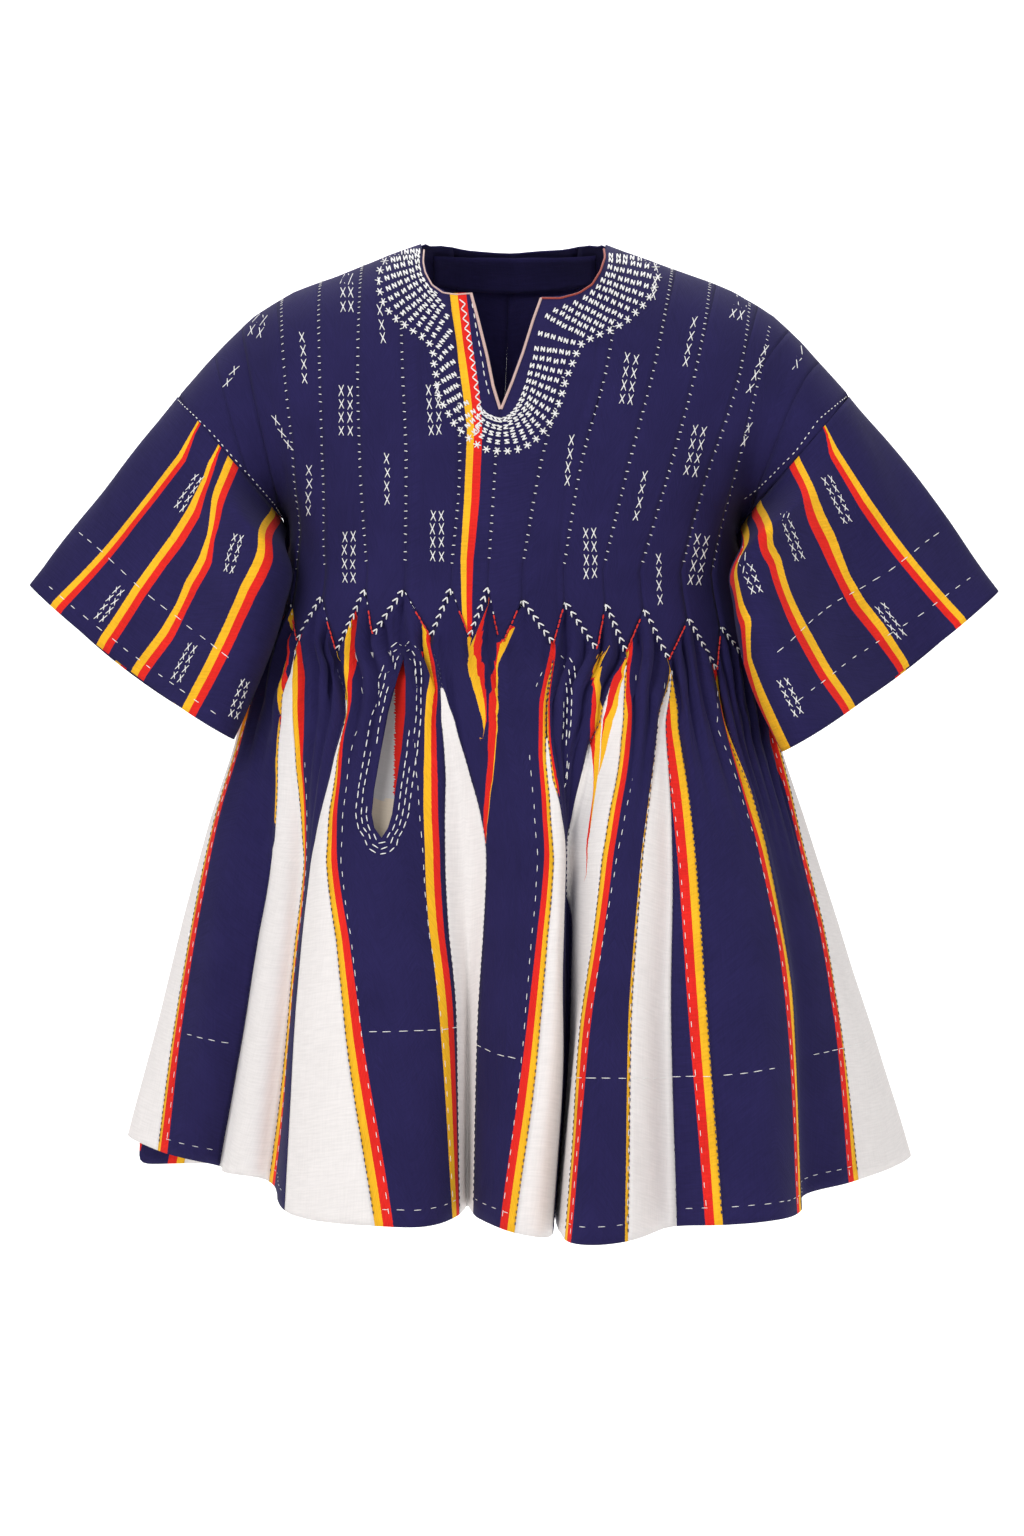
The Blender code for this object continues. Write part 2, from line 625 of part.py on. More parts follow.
def sleeve_point(turn, share, side):
    """Point of a sleeve, as if on the left: turn 0 on top, a quarter in front, share 1 at the cuff."""
    cuff_top, cuff_bottom, swing_in, swing_forward = SLEEVES[side]
    w = (1 - math.cos(turn)) / 2
    along = UNDERARM - SHOULDER_TIP
    outward = np.array([along[1], -along[0]]) / np.hypot(*along)
    seam = SHOULDER_TIP + along * w
    depth = cloth_depth(seam[0], seam[1])
    front = math.sin(turn)
    seam_y = -math.copysign(max(depth, 0.0002), front) if abs(front) > 1e-9 else 0.0
    seam = seam + outward * (SEAM_GAP / 2 + UNDERARM_EASE * max(10 * w - 9, 0.0))
    cuff = cuff_top + (cuff_bottom - cuff_top) * w
    axis = (cuff_top + cuff_bottom) / 2 - (SHOULDER_TIP + UNDERARM) / 2
    axis = axis / np.hypot(*axis)
    drop = (0.006 if front > 0 else 0.013) * front * front
    cuff = cuff + axis * drop
    cuff_y = -CUFF_DEPTH * math.copysign(abs(front) ** 0.85, front)
    ease = soft_step(share) * 0.5 + share * 0.5
    flat = seam + (cuff - seam) * share
    y = seam_y + (cuff_y - seam_y) * ease
    ripple = 0.004 * math.sin(math.pi * share) * math.sin(4 * turn + 1.2)
    y = y * (1 + 0.04 * math.sin(math.pi * share)) + ripple * abs(front)
    near = swing_share(w, front)
    forward = soft_step(share / 0.2)
    inward = soft_step(share / 0.3) * math.sin(math.pi * share ** 0.85)
    x = flat[0] + swing_in * inward * near ** (1 if front >= 0 else 4)
    return np.array([x, y - swing_forward * forward * near, flat[1]])


def swing_share(w, front):
    """How much of the underarm's swing a place round the sleeve takes up."""
    return soft_step((w - 0.35) / 0.65) if front >= 0 else soft_step((w - 0.72) / 0.28)


def soft_step(share):
    """A soft rise from 0 to 1."""
    share = min(max(share, 0.0), 1.0)
    return share * share * (3 - 2 * share)


def skirt_panel(name, first, last, colour):
    """A gore or godet between two numbered fold lines, from the waist or its own tip down."""
    width = arc_of(1.0, last) - arc_of(1.0, first)
    if FOLD_ANGLES[first] == FOLD_ANGLES[last]:
        return godet(name, first, last, width, colour)
    angles = [FOLD_ANGLES[first]] + waist_marks(FOLD_ANGLES[first], FOLD_ANGLES[last])
    angles.append(FOLD_ANGLES[last])
    parts = 2 * max(1, math.ceil(width / HEM_PITCH / (len(angles) - 1) / 2 - 0.25))
    stops = []
    for low, high in zip(angles[:-1], angles[1:]):
        stops += [low + (high - low) * k / parts for k in range(parts)]
    stops.append(angles[-1])
    columns = []
    for k, angle in enumerate(stops):
        line = line_of_angle(angle, first, last)
        line = first if k == 0 else last if k == len(stops) - 1 else line
        tip = level_of(waist_height(angle) - POINT_GAP / 2, line)
        levels = [tip, (tip + SKIRT_ROWS[0]) / 2] + SKIRT_ROWS
        columns.append([gore_point(level, line, k / (len(stops) - 1), first, last) for level in levels])
    return build_sheet(name, *split_grid(columns), colour)


def gore_point(level, line, share, first, last):
    """Point of a gore, following its fold lines above and spread evenly below."""
    low = arc_of(level, first) + SEAM_GAP / 2
    high = arc_of(level, last) - SEAM_GAP / 2
    exact = min(max(arc_of(level, line), low), high)
    even = low + (high - low) * share
    blend = soft_step((level - SKIRT_ROWS[0]) / 0.35)
    return skirt_point(level, exact + (even - exact) * blend)


def gore_edge(line, inset):
    """Levels and points down the edge of a gore, or beside it by the inset."""
    tip = level_of(waist_height(FOLD_ANGLES[line]) - POINT_GAP / 2, line)
    levels = [tip, (tip + SKIRT_ROWS[0]) / 2] + SKIRT_ROWS
    return levels, [skirt_point(level, arc_of(level, line) + inset) for level in levels]


def godet(name, first, last, width, colour):
    """A wedge let in between two gores, starting where they part."""
    levels, left = gore_edge(first, SEAM_GAP / 2)
    right = gore_edge(last, -SEAM_GAP / 2)[1]
    widths = [np.linalg.norm(b[0] - a[0]) for a, b in zip(left, right)]
    row = next(i for i in range(1, len(widths)) if widths[i] > GODET_START)
    share = (GODET_START - widths[row - 1]) / (widths[row] - widths[row - 1])
    low = [left[row - 1][i] * (1 - share) + left[row][i] * share for i in (0, 1)]
    high = [right[row - 1][i] * (1 - share) + right[row][i] * share for i in (0, 1)]
    count = max(2, math.ceil(width / HEM_PITCH) + 1)
    columns = []
    for k in range(count):
        across = k / (count - 1)
        column = [tuple(low[i] * (1 - across) + high[i] * across for i in (0, 1))]
        for level in levels[row:]:
            start = arc_of(level, first) + SEAM_GAP / 2
            end = arc_of(level, last) - SEAM_GAP / 2
            column.append(skirt_point(level, start + (end - start) * across))
        columns.append(column)
    return build_sheet(name, *split_grid(columns), colour)


GARMENT = bpy.data.collections.new("peplum_top")
CUTTERS = bpy.data.collections.new("cutters")


def build_bodice():
    """All bodice strips, left to right."""
    seams = {row[0]: row for row in STRIP_SEAMS}
    order = [("l6", "l5"), ("l5", "l4"), ("l4", "l3"), ("l3", "l2")]
    for i, (a, b) in enumerate(order):
        shoulder_strip("strip_left_%d" % (6 - i), seams[a], seams[b], NAVY)
    order = [("r2", "r3"), ("r3", "r4"), ("r4", "r5"), ("r5", "r6"), ("r6", "r7")]
    for i, (a, b) in enumerate(order):
        shoulder_strip("strip_right_%d" % (3 + i), seams[a], seams[b], NAVY)
    left_side = [(0, -95, None), (0.25, -79, None), (0.5, -76, -22), (0.75, -68, -47), (1, -53, -57)]
    neck_strip("strip_left_2_front", -1, seams["l2"], seams["l1"], left_side, NAVY)
    left_side = [(0, -95, None), (0.25, -79, None), (0.5, -72, 4), (0.75, -63, 6), (1, -53, 7)]
    neck_strip("strip_left_2_back", 1, seams["l2"], seams["l1"], left_side, NAVY)
    right_side = [(0, 57, -54), (0.25, 68, -45), (0.5, 75, -22), (0.75, 79, None), (1, 94, None)]
    neck_strip("strip_right_2_front", -1, seams["r1"], seams["r2"], right_side, NAVY)
    right_side = [(0, 57, 7), (0.25, 66, 6), (0.5, 73, 4), (0.75, 79, None), (1, 94, None)]
    neck_strip("strip_right_2_back", 1, seams["r1"], seams["r2"], right_side, NAVY)
    back_seam = ("c", -3, -8, -15, -6)
    tops = [(0, -53, 7), (0.25, -40, 7), (0.5, -28, 7), (0.75, -15, 7), (1, -3, 7)]
    neck_strip("strip_left_1_back", 1, seams["l1"], back_seam, tops, NAVY)
    tops = [(0, -3, 7), (0.25, 12, 7), (0.5, 27, 7), (0.75, 42, 7), (1, 57, 7)]
    neck_strip("strip_right_1_back", 1, back_seam, seams["r1"], tops, NAVY)
    slit_left = ("slit", -35, -22, -15, -6)
    slit_right = ("slit", 23, 4, -15, -6)
    tops = [(0, -53, -57), (0.25, -49, -57), (0.5, -44, -57), (0.75, -39, -57), (1, -35, -57)]
    neck_strip("strip_left_1_front", -1, seams["l1"], slit_left, tops, NAVY)
    tops = [(0, 23, -60), (0.25, 31, -60), (0.5, 40, -59), (0.75, 49, -57), (1, 57, -54)]
    neck_strip("strip_right_1_front", -1, slit_right, seams["r1"], tops, NAVY)
    armhole_strip("strip_left_7", -1, (-0.255, 0.75), (-0.232, 0.983), seams["l6"], NAVY)
    armhole_strip("strip_left_8", -1, (-0.285, 0.067), (-0.255, 0.75), None, NAVY)
    armhole_strip("strip_right_8", 1, (-0.285, 0.067), (-0.262, 0.983), seams["r7"], NAVY)


GORES = [
    ("godet_front_1", "ab", "aA", WHITE),
    ("gore_front_1", "aA", "AB", NAVY),
    ("godet_front_2", "AB", "BC", WHITE),
    ("gore_front_2", "BC", "CD", NAVY),
    ("godet_front_3", "CD", "DE", WHITE),
    ("gore_front_3_pocket", "DE", "EF", NAVY),
    ("godet_front_4", "EF", "FG", WHITE),
    ("gore_front_4_centre", "FG", "GH", NAVY),
    ("godet_front_5", "GH", "HI", WHITE),
    ("gore_front_5_pocket", "HI", "IJ", NAVY),
    ("godet_front_6", "IJ", "JK", WHITE),
    ("gore_front_6", "JK", "KL", NAVY),
    ("godet_front_7", "KL", "LM", WHITE),
    ("gore_front_7", "LM", "MN", NAVY),
    ("gore_front_8", "MN", "NO", NAVY),
    ("gore_front_9", "NO", "OP", NAVY),
    ("godet_front_8", "OP", "PQ", WHITE),
]


def build_skirt():
    """Gores and godets round the skirt."""
    for name, start, end, colour in GORES:
        skirt_panel(name, FOLD_NAMES.index(start), FOLD_NAMES.index(end), colour)
    first = FOLD_NAMES.index("PQ")
    stops = [first]
    for i in range(1, len(BACK_SEAMS)):
        at = FOLD_NAMES.index("back%d" % i)
        stops += [at, at + 2]
    stops.append(len(FOLD_NAMES) - 1)
    for i, (start, end) in enumerate(zip(stops[:-1], stops[1:])):
        if i % 2 == 0:
            skirt_panel("gore_back_%d" % (i // 2 + 1), start, end, NAVY)
        else:
            skirt_panel("godet_back_%d" % (i // 2 + 1), start, end, WHITE)


def pocket_slit(gore):
    """Cut the pocket mouth, a long narrow leaf, right through its gore."""
    right = [(x + w, z) for x, z, w in POCKET_SLIT]
    left = [(x - w, z) for x, z, w in POCKET_SLIT]
    outline = np.array(left + right[-2:0:-1]) * MM
    count = len(outline)
    points = [(x, -0.26, z) for x, z in outline] + [(x, -0.04, z) for x, z in outline]
    faces = [tuple(range(count)), tuple(range(2 * count - 1, count - 1, -1))]
    faces += [(i, i + count, (i + 1) % count + count, (i + 1) % count) for i in range(count)]
    mesh = bpy.data.meshes.new("pocket_cutter")
    mesh.from_pydata(points, [], faces)
    cutter = bpy.data.objects.new("pocket_cutter", mesh)
    CUTTERS.objects.link(cutter)
    turn_outward(cutter)
    cutter.display_type = "WIRE"
    cutter.hide_render = True
    cut = gore.modifiers.new("pocket mouth", "BOOLEAN")
    cut.operation = "DIFFERENCE"
    cut.solver = "EXACT"
    cut.object = cutter


def pocket_bag(name, start, end, colour):
    """A shallow pouch behind the pocket mouth, its rim against the gore's inner face."""
    first = FOLD_NAMES.index(start)
    last = FOLD_NAMES.index(end)
    columns = []
    for across in np.linspace(0.0, 1.0, 7):
        column = []
        for down in np.linspace(0.0, 1.0, 9):
            level = POCKET_TOP + (POCKET_BOTTOM - POCKET_TOP) * down
            low = arc_of(level, first) + 0.006
            high = arc_of(level, last) - 0.006
            point, normal = skirt_point(level, low + (high - low) * across)
            depth = math.sin(math.pi * across) * math.sin(math.pi * down) ** 0.6
            inset = WALL + LINING_GAP + POCKET_DEPTH * depth
            column.append((point - normal * inset, normal))
        columns.append(column)
    outer, inner = split_grid(columns, POCKET_WALL)
    return build_sheet(name, outer, inner, colour)


def neck_facing(name, colour):
    """A band lining the back of the neck inside."""
    columns = []
    for x in np.linspace(-0.058, 0.060, 9):
        column = []
        for down in (0.0, 0.35, 0.7, 1.0):
            z = 0.0055 - down * FACING_HEIGHT
            point, normal = upper_point(x, z, 1)
            column.append((point - normal * (WALL + FACING_GAP), normal))
        columns.append(column)
    outer, inner = split_grid(columns, POCKET_WALL)
    return build_sheet(name, outer, inner, colour)


def main():
    """Build the whole garment."""
    clear_scene()
    bpy.context.scene.collection.children.link(GARMENT)
    bpy.context.scene.collection.children.link(CUTTERS)
    CUTTERS.hide_render = True
    build_bodice()
    sleeve("sleeve_left", -1, NAVY)
    sleeve("sleeve_right", 1, NAVY)
    build_skirt()
    pocket_slit(bpy.data.objects["gore_front_3_pocket"])
    pocket_bag("pocket_bag", "DE", "EF", CREAM)
    neck_facing("neck_facing_back", NAVY)


main()
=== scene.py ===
"""Looks of the peplum smock: woven strips and gores as thin sheets, threads, floor and light.

Metres, +Z up, the front towards -Y. Every sheet lies on the outer face of its own solid, so the
sections and seams below are the ones the solids were made from. Places that were read from the
photograph are its pixels, in tables that say so, and are carried onto the cloth.
"""

import math
import random

import bmesh
import bpy
import numpy as np
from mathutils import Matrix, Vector, noise


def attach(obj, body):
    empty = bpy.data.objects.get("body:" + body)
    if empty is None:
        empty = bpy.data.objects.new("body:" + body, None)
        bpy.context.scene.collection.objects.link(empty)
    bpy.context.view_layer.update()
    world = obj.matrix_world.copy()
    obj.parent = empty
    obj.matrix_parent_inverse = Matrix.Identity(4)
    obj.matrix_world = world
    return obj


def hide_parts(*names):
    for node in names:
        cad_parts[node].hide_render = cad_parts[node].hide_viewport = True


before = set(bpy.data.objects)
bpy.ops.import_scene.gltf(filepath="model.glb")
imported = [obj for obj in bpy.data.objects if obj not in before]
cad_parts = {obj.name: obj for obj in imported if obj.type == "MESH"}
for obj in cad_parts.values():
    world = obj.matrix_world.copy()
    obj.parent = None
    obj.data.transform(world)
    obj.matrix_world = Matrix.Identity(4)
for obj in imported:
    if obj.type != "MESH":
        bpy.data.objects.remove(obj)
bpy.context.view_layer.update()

bl_info = {
    "name": "Peplum smock",
    "version": (1, 0, 0),
    "blender": (4, 5, 0),
    "location": "3D View > Sidebar > Smock",
    "description": "Cloth, threads and stage of a handwoven smock with a gored peplum",
    "category": "Object",
}

MM = 0.001
WALL = 0.0018
SEAM_GAP = 0.00005
LINING_GAP = 0.0015
FACING_GAP = 0.0016
WAIST_Z = -0.285
ARM_DEPTH = 0.085
SHOULDER_DROP = 0.11
SHOULDER_TIP = np.array([-0.2877, -0.1288])
UNDERARM = np.array([-0.1975, -0.2337])
CUFF_DEPTH = 0.048
UNDERARM_EASE = 0.0012
FOLD_SAMPLES = 10
FOLD_SOFTNESS = 4
SKIRT_TOP = 0.17
SLIT_TIP = (-0.011, -0.155)

# The shoulder line seen from the front: distance from the middle, height.
SHOULDER_LINE = np.array([
    (0, 26), (40, 18), (79, 2), (107, -8), (135, -19), (163, -29), (188, -39),
    (207, -50), (222, -60), (245, -81), (263, -101), (288, -129), (330, -176),
]) * MM

# The body under the cloth: height, half width, half depth.
TORSO = np.array([
    (26, 245, 112), (-70, 243, 124), (-130, 226, 134), (-216, 206, 134), (-234, 196.2, 132),
    (-250, 193, 130), (-275, 195, 127), (-300, 198.5, 124), (-350, 210, 124), (-400, 222, 126),
]) * MM

# The two sleeves, both written as if on the left: the top and bottom of the cuff seen from the
# front, how far the underarm line swings in over the side of the body, and how far forward.
SLEEVES = {
    -1: (np.array([-0.4150, -0.2900]), np.array([-0.2335, -0.4234]), 0.020, 0.070),
    1: (np.array([-0.4166, -0.2950]), np.array([-0.2210, -0.4337]), 0.030, 0.110),
}

# Seams between the bodice strips, left to right:
# name, x at the shoulder, x 120 mm down, x 200 mm down, angle round the waist.
STRIP_SEAMS = [
    ("l7", -255, -246, -222, None),
    ("l6", -232, -221, -203, -90),
    ("l5", -202, -189, -182, -69),
    ("l4", -165, -160, -158, -53),
    ("l3", -128, -128, -126, -38),
    ("l2", -95, -91, -88, -27),
    ("l1", -53, -45, -44, -15),
    ("c", -11, -11, -15, -6),
    ("r1", 57, 42, 22, 2),
    ("r2", 94, 76, 55, 12),
    ("r3", 139, 115, 94, 22),
    ("r4", 173, 150, 129, 32),
    ("r5", 209, 187, 162, 45),
    ("r6", 236, 204, 185, 57),
    ("r7", 262, 245, 209, 90),
]

# The pointed waist seam round the front, left to right: angle, height.
WAIST_POINTS = [
    (-90, -310), (-82, -346), (-69, -307), (-60, -341), (-53, -304), (-44, -351), (-38, -299),
    (-34, -338), (-27, -300), (-19, -340), (-15, -299), (-10, -340), (-6, -298), (-3, -349),
    (2, -309), (9, -345), (12, -311), (19, -350), (22, -312), (26, -352), (32, -316),
    (37, -358), (45, -323), (52, -366), (57, -329), (70, -368), (90, -325),
]

# Folds of the front, left to right: name, angle at the waist, x then y at 20, 45, 70 and
# 100 per cent of the way down, height of the hem.
FRONT_FOLDS = [
    ("ab", -75, -226, -258, -290, -326, -20, 38, 48, 62, -768),
    ("a0", -75, -226, -264, -298, -338, -20, 3, 5, 10, -763),
    ("aA", -75, -224, -262, -284, -302, -20, -34, -22, -15, -775),
    ("A0", -68, -212, -228, -250, -273, -43, -67, -64, -35, -780),
    ("AB", -60, -198, -201, -218, -249, -71, -74, -55, -5, -789),
    ("B1", -60, -197, -202, -220, -250, -72, -86, -77, -45, -788),
    ("B2", -60, -192, -187, -198, -218, -81, -109, -113, -100, -784),
    ("BC", -60, -187, -173, -183, -201, -88, -110, -108, -88, -790),
    ("C0", -52, -166, -167, -180, -193, -107, -129, -140, -140, -794),
    ("CD", -44, -148, -164, -177, -187, -120, -146, -171, -190, -800),
    ("D0", -44, -142, -158, -157, -147, -124, -163, -202, -235, -803),
    ("DE", -44, -136, -150, -137, -108, -127, -170, -214, -250, -803),
    ("E0", -31, -99, -102, -87, -69, -139, -180, -222, -258, -804),
    ("EF", -19, -59, -55, -42, -39, -146, -168, -193, -212, -799),
    ("F0", -19, -57, -39, -37, -37, -147, -153, -164, -165, -798),
    ("FG", -19, -55, -22, -31, -35, -147, -169, -193, -212, -799),
    ("G0", -4, -11, 5, -4, -17, -149, -180, -215, -245, -803),
    ("GH", 9, 28, 32, 23, 1, -149, -186, -226, -262, -807),
    ("H0", 9, 30, 37, 31, 17, -149, -186, -229, -266, -809),
    ("HI", 9, 32, 41, 41, 31, -149, -178, -212, -237, -814),
    ("I0", 17, 50, 43, 42, 31, -148, -153, -164, -165, -807),
    ("IJ", 26, 82, 46, 45, 34, -144, -154, -164, -165, -807),
    ("JK", 26, 90, 72, 51, 37, -143, -193, -242, -285, -811),
    ("K0", 31, 107, 88, 70, 62, -137, -195, -248, -295, -811),
    ("KL", 37, 121, 103, 92, 89, -132, -189, -239, -283, -810),
    ("L0", 37, 123, 116, 109, 108, -132, -180, -224, -262, -807),
    ("LM", 37, 125, 127, 123, 125, -131, -168, -204, -232, -805),
    ("MN", 37, 133, 145, 152, 163, -127, -174, -220, -262, -801),
    ("N0", 45, 154, 176, 192, 198, -115, -165, -214, -262, -798),
    ("NO", 52, 173, 210, 228, 232, -101, -133, -171, -205, -798),
    ("O1", 55, 176, 210, 227, 231, -98, -115, -138, -150, -794),
    ("O2", 65, 189, 225, 248, 261, -83, -98, -117, -125, -790),
    ("OP", 75, 210, 241, 268, 284, -46, -76, -94, -100, -788),
    ("P1", 75, 212, 249, 283, 316, -45, -56, -62, -60, -784),
    ("P2", 75, 212, 253, 299, 347, -45, -27, -3, 0, -779),
    ("PQ", 75, 212, 250, 292, 334, -45, 4, 30, 48, -783),
]

# Where the gores of the back begin, going on round from the front: angle at the waist, angle
# at the hem, in degrees from the front.
BACK_SEAMS = [(75, 98), (110, 112), (128, 137), (161, 162), (183, 187), (214, 212), (240, 237)]
BACK_END = (285, 262)
BACK_EDGE = -0.05
BACK_GODET_ANGLE = 11.0
BACK_HALF_WIDTH = np.array([214, 260, 302, 342]) * MM
BACK_HALF_DEPTH = np.array([146, 184, 220, 252]) * MM
BACK_CREST = 0.07
BACK_VALLEY = -0.26
BACK_GROWTH = np.array([0.22, 0.55, 0.8, 1.0])
BACK_HEM_Z = -0.792

# The pocket mouth from top to bottom: middle x, height, half width.
POCKET_SLIT = [
    (-90, -358, 0), (-91.5, -374, 3.5), (-95, -402, 7), (-99, -432, 8.2), (-104, -465, 8.6),
    (-106, -484, 8.2), (-106.5, -495, 5.5), (-106, -503, 0),
]
POCKET_TOP = 0.125
POCKET_BOTTOM = 0.56
POCKET_DEPTH = 0.012
FACING_HEIGHT = 0.025
FACING_LIFT = 0.0055
POCKET_MARGIN = 0.006
POCKET_INSET = WALL + LINING_GAP + 0.002

# Distances over which the skirt's direction is measured: round the section, and down it.
RING_STEP = 0.002
LEVEL_STEP = 0.01

# Shader settings: roughness and sheen, how fine the threads are, and depth of ribs and mottle.
CLOTH_SHEEN = {"Roughness": 0.95, "Specular IOR Level": 0.12, "Sheen Weight": 0.03,
               "Sheen Roughness": 0.5}
THREAD_SHEEN = {"Roughness": 0.7, "Specular IOR Level": 0.3, "Sheen Weight": 0.2}
WEFT_GRAIN = (60, 620, 1)
WARP_GRAIN = (700, 50, 1)
STRIP_GRAIN = (0.42, 0.42)
GORE_GRAIN = (0.46, 0.40)
GODET_GRAIN = (0.20, 0.07)
LINING_GRAIN = (0.16, 0.06)

# Rows of running stitch in metres: distance from one to the next, length, thickness.
RUNS = {
    "armhole": (0.0058, 0.0024, 0.0009),
    "slit": (0.0085, 0.0048, 0.0010),
    "neck": (0.0075, 0.0050, 0.0011),
    "waist": (0.0085, 0.0022, 0.0010),
    "waist_red": (0.0042, 0.0040, 0.0016),
    "pocket": (0.0085, 0.0058, 0.0010),
    "pocket_folded": (0.0085, 0.0056, 0.0010),
    "edge": (0.0125, 0.0050, 0.0007),
    "edge_dark": (0.0052, 0.0026, 0.0009),
    "hem": (0.0135, 0.0055, 0.0006),
    "hem_high": (0.0125, 0.0075, 0.0007),
    "cuff_inner": (0.0155, 0.0075, 0.0008),
    "cuff_outer": (0.0155, 0.0060, 0.0008),
}
CHAIN_PITCH = 0.0068

# The rows beside a gore's seam: how far off it the white and the dark ones run in metres, and
# the tuck in millimetres that hides the white one.
EDGE_INSET = 0.0132
DARK_INSET = 0.0004
HIDDEN_TUCK = 20

# Worked out once and kept: materials, sleeve fronts, and where the seams show.
FINISHES = {}
SLEEVE_GRIDS = {}
SEAM_SHIFTS = {}

DOWN = np.array([0.0, 0.2, 0.45, 0.7, 1.0])

GORES = [
    ("godet_front_1", "ab", "aA"),
    ("gore_front_1", "aA", "AB"),
    ("godet_front_2", "AB", "BC"),
    ("gore_front_2", "BC", "CD"),
    ("godet_front_3", "CD", "DE"),
    ("gore_front_3_pocket", "DE", "EF"),
    ("godet_front_4", "EF", "FG"),
    ("gore_front_4_centre", "FG", "GH"),
    ("godet_front_5", "GH", "HI"),
    ("gore_front_5_pocket", "HI", "IJ"),
    ("godet_front_6", "IJ", "JK"),
    ("gore_front_6", "JK", "KL"),
    ("godet_front_7", "KL", "LM"),
    ("gore_front_7", "LM", "MN"),
    ("gore_front_8", "MN", "NO"),
    ("gore_front_9", "NO", "OP"),
    ("godet_front_8", "OP", "PQ"),
]


# The photograph: width, height, the pixel column of the garment's middle plane, the height
# of the lens, its distance and the size of one pixel at that distance.
PHOTO_WIDTH = 1024
PHOTO_HEIGHT = 1536
PHOTO_MIDDLE = 513.5
LENS_Z = -0.447
LENS_AWAY = 2.6
PIXEL = 0.00086

# Stripe edges from a gore's seam inwards, in metres.
OUTER_BAND = (0.0, 0.007)
INNER_BAND = (0.007, 0.015)
FAR_OFF = 0.2

# How far each gore's stripes are tucked into its seams (less than 0: how far they stand off
# the seam), as pairs of distance down from the waist and tuck, in millimetres.
TUCKS = {
    "gore_front_1": ([(0, 4)], [(0, -17), (24, -14), (41, -4), (60, 0), (74, 7), (150, 9), (175, 40)]),
    "gore_front_2": ([(0, 6), (14, 3), (24, 0)], [(0, 14), (60, 14), (80, 60)]),
    "gore_front_3_pocket": ([(0, -23), (7, -19), (24, -9), (41, -1), (60, 0)],
                            [(0, 0), (20, -5), (45, -9), (110, -10.5), (175, -6), (240, -5),
                             (420, -2), (480, 0)]),
    "gore_front_4_centre": ([(0, 60)], [(0, 12), (22, 6), (50, 0)]),
    "gore_front_5_pocket": ([(0, 12), (22, 6), (50, 0), (125, 0), (130, 40)], [(0, 60)]),
    "gore_front_6": ([(0, 2), (40, 0)], [(0, 12), (300, 12), (340, 12)]),
    "gore_front_7": ([(0, 60)], [(0, 0)]),
    "gore_front_8": ([(0, 60)], [(0, 8), (30, 0)]),
    "gore_front_9": ([(0, 60)], [(0, 8), (60, 3), (300, 6), (420, 0)]),
}
BACK_TUCK = ([(0, 15), (45, 0)], [(0, 15), (45, 0)])

OWN_FINISH = {"gore_front_4_centre": "gore_legs", "gore_front_5_pocket": "gore_folded",
              "godet_front_6": "godet_legs"}

# Where the seams between gores and godets show high up, in pixels of the photograph. Lower down
# they are where the fold lines put them.
SEAM_PIXELS = {
    "AB": [(299, 655), (297, 675), (292, 700), (286, 720), (281, 740), (279, 760), (278, 800),
           (275, 840), (270, 862)],
    "BC": [(299, 655), (297, 675), (296, 700), (296, 740), (297, 770), (300, 800), (303, 840),
           (305, 862)],
    "CD": [(341, 665), (344, 690), (345, 715), (339, 735), (332, 755), (326, 780), (320, 810),
           (315, 840), (311, 862)],
    "DE": [(341, 665), (344, 690), (345, 715), (340, 735), (335, 755), (332, 780), (328, 810),
           (327, 840), (326, 862)],
    "EF": [(433, 645), (437, 665), (441, 686), (441, 720), (443, 740), (446, 780), (445, 820),
           (445, 860)],
    "FG": [(433, 645), (437, 665), (441, 686), (448, 702), (455, 720), (460, 740), (466, 760),
           (471, 780), (481, 820), (486, 860)],
    "GH": [(547, 652), (547, 700), (546, 735), (546, 760), (548, 780), (550, 800), (551, 820),
           (554, 860)],
    "HI": [(547, 652), (547, 700), (547, 735), (550, 760), (552, 780), (557, 800), (560, 820),
           (563, 840), (564, 856)],
    "IJ": [(617, 660), (611, 680), (605, 700), (601, 720), (594, 735), (588, 746), (585, 760), (580, 780),
           (575, 800), (571, 820), (567, 840), (564, 856)],
    "JK": [(624, 660), (623, 680), (623, 720), (621, 740), (619, 760), (616, 780), (611, 805),
           (605, 840), (601, 862)],
    "OP": [(772, 720), (777, 740), (785, 770), (793, 800), (802, 835), (813, 880), (823, 920)],
}

# Stripes that a seam doesn't carry: middle x and y in pixels, then how wide the part on the
# left and the part on the right of the middle are, in millimetres.
FOLDED_STRIPE = [
    (596, 655, 0.1, 3), (596, 670, 0.1, 5), (595, 690, 2, 6), (595.5, 700, 4, 5.2),
    (594.5, 720, 4, 5.2), (595, 740, 4.4, 4), (593.5, 760, 1.2, 4.4), (593.5, 780, 0.2, 3.2),
    (593, 800, 0.5, 1.6), (591, 830, 2.4, 0.1), (588, 860, 1.2, 0.1), (586, 880, 0.1, 0.1),
]
LEGS = {
    "gore_front_4_centre": [
        [(469, 640, 4, 7), (477, 660, 6.5, 6.4), (480, 680, 7.2, 4.4), (484, 700, 6.4, 2),
         (485.5, 720, 3, 1), (486, 735, 0.1, 0.1)],
        [(500, 643, 3, 6), (497, 660, 2.4, 3), (496, 680, 2, 2), (495, 700, 6, 1.6),
         (494.5, 740, 6, 0.8), (491.5, 780, 4.5, 0.6), (488, 820, 4, 0.3), (486, 860, 0.1, 0.1)],
    ],
    "gore_front_5_pocket": [FOLDED_STRIPE],
    "godet_front_6": [
        FOLDED_STRIPE,
        [(624, 660, 5.6, 4), (620.5, 680, 7.6, 2), (613, 700, 6, 4), (605, 720, 2, 6.4),
         (601, 740, 0.2, 5.6), (600, 760, 0.1, 2.4), (598, 775, 0.1, 0.1)],
    ],
}

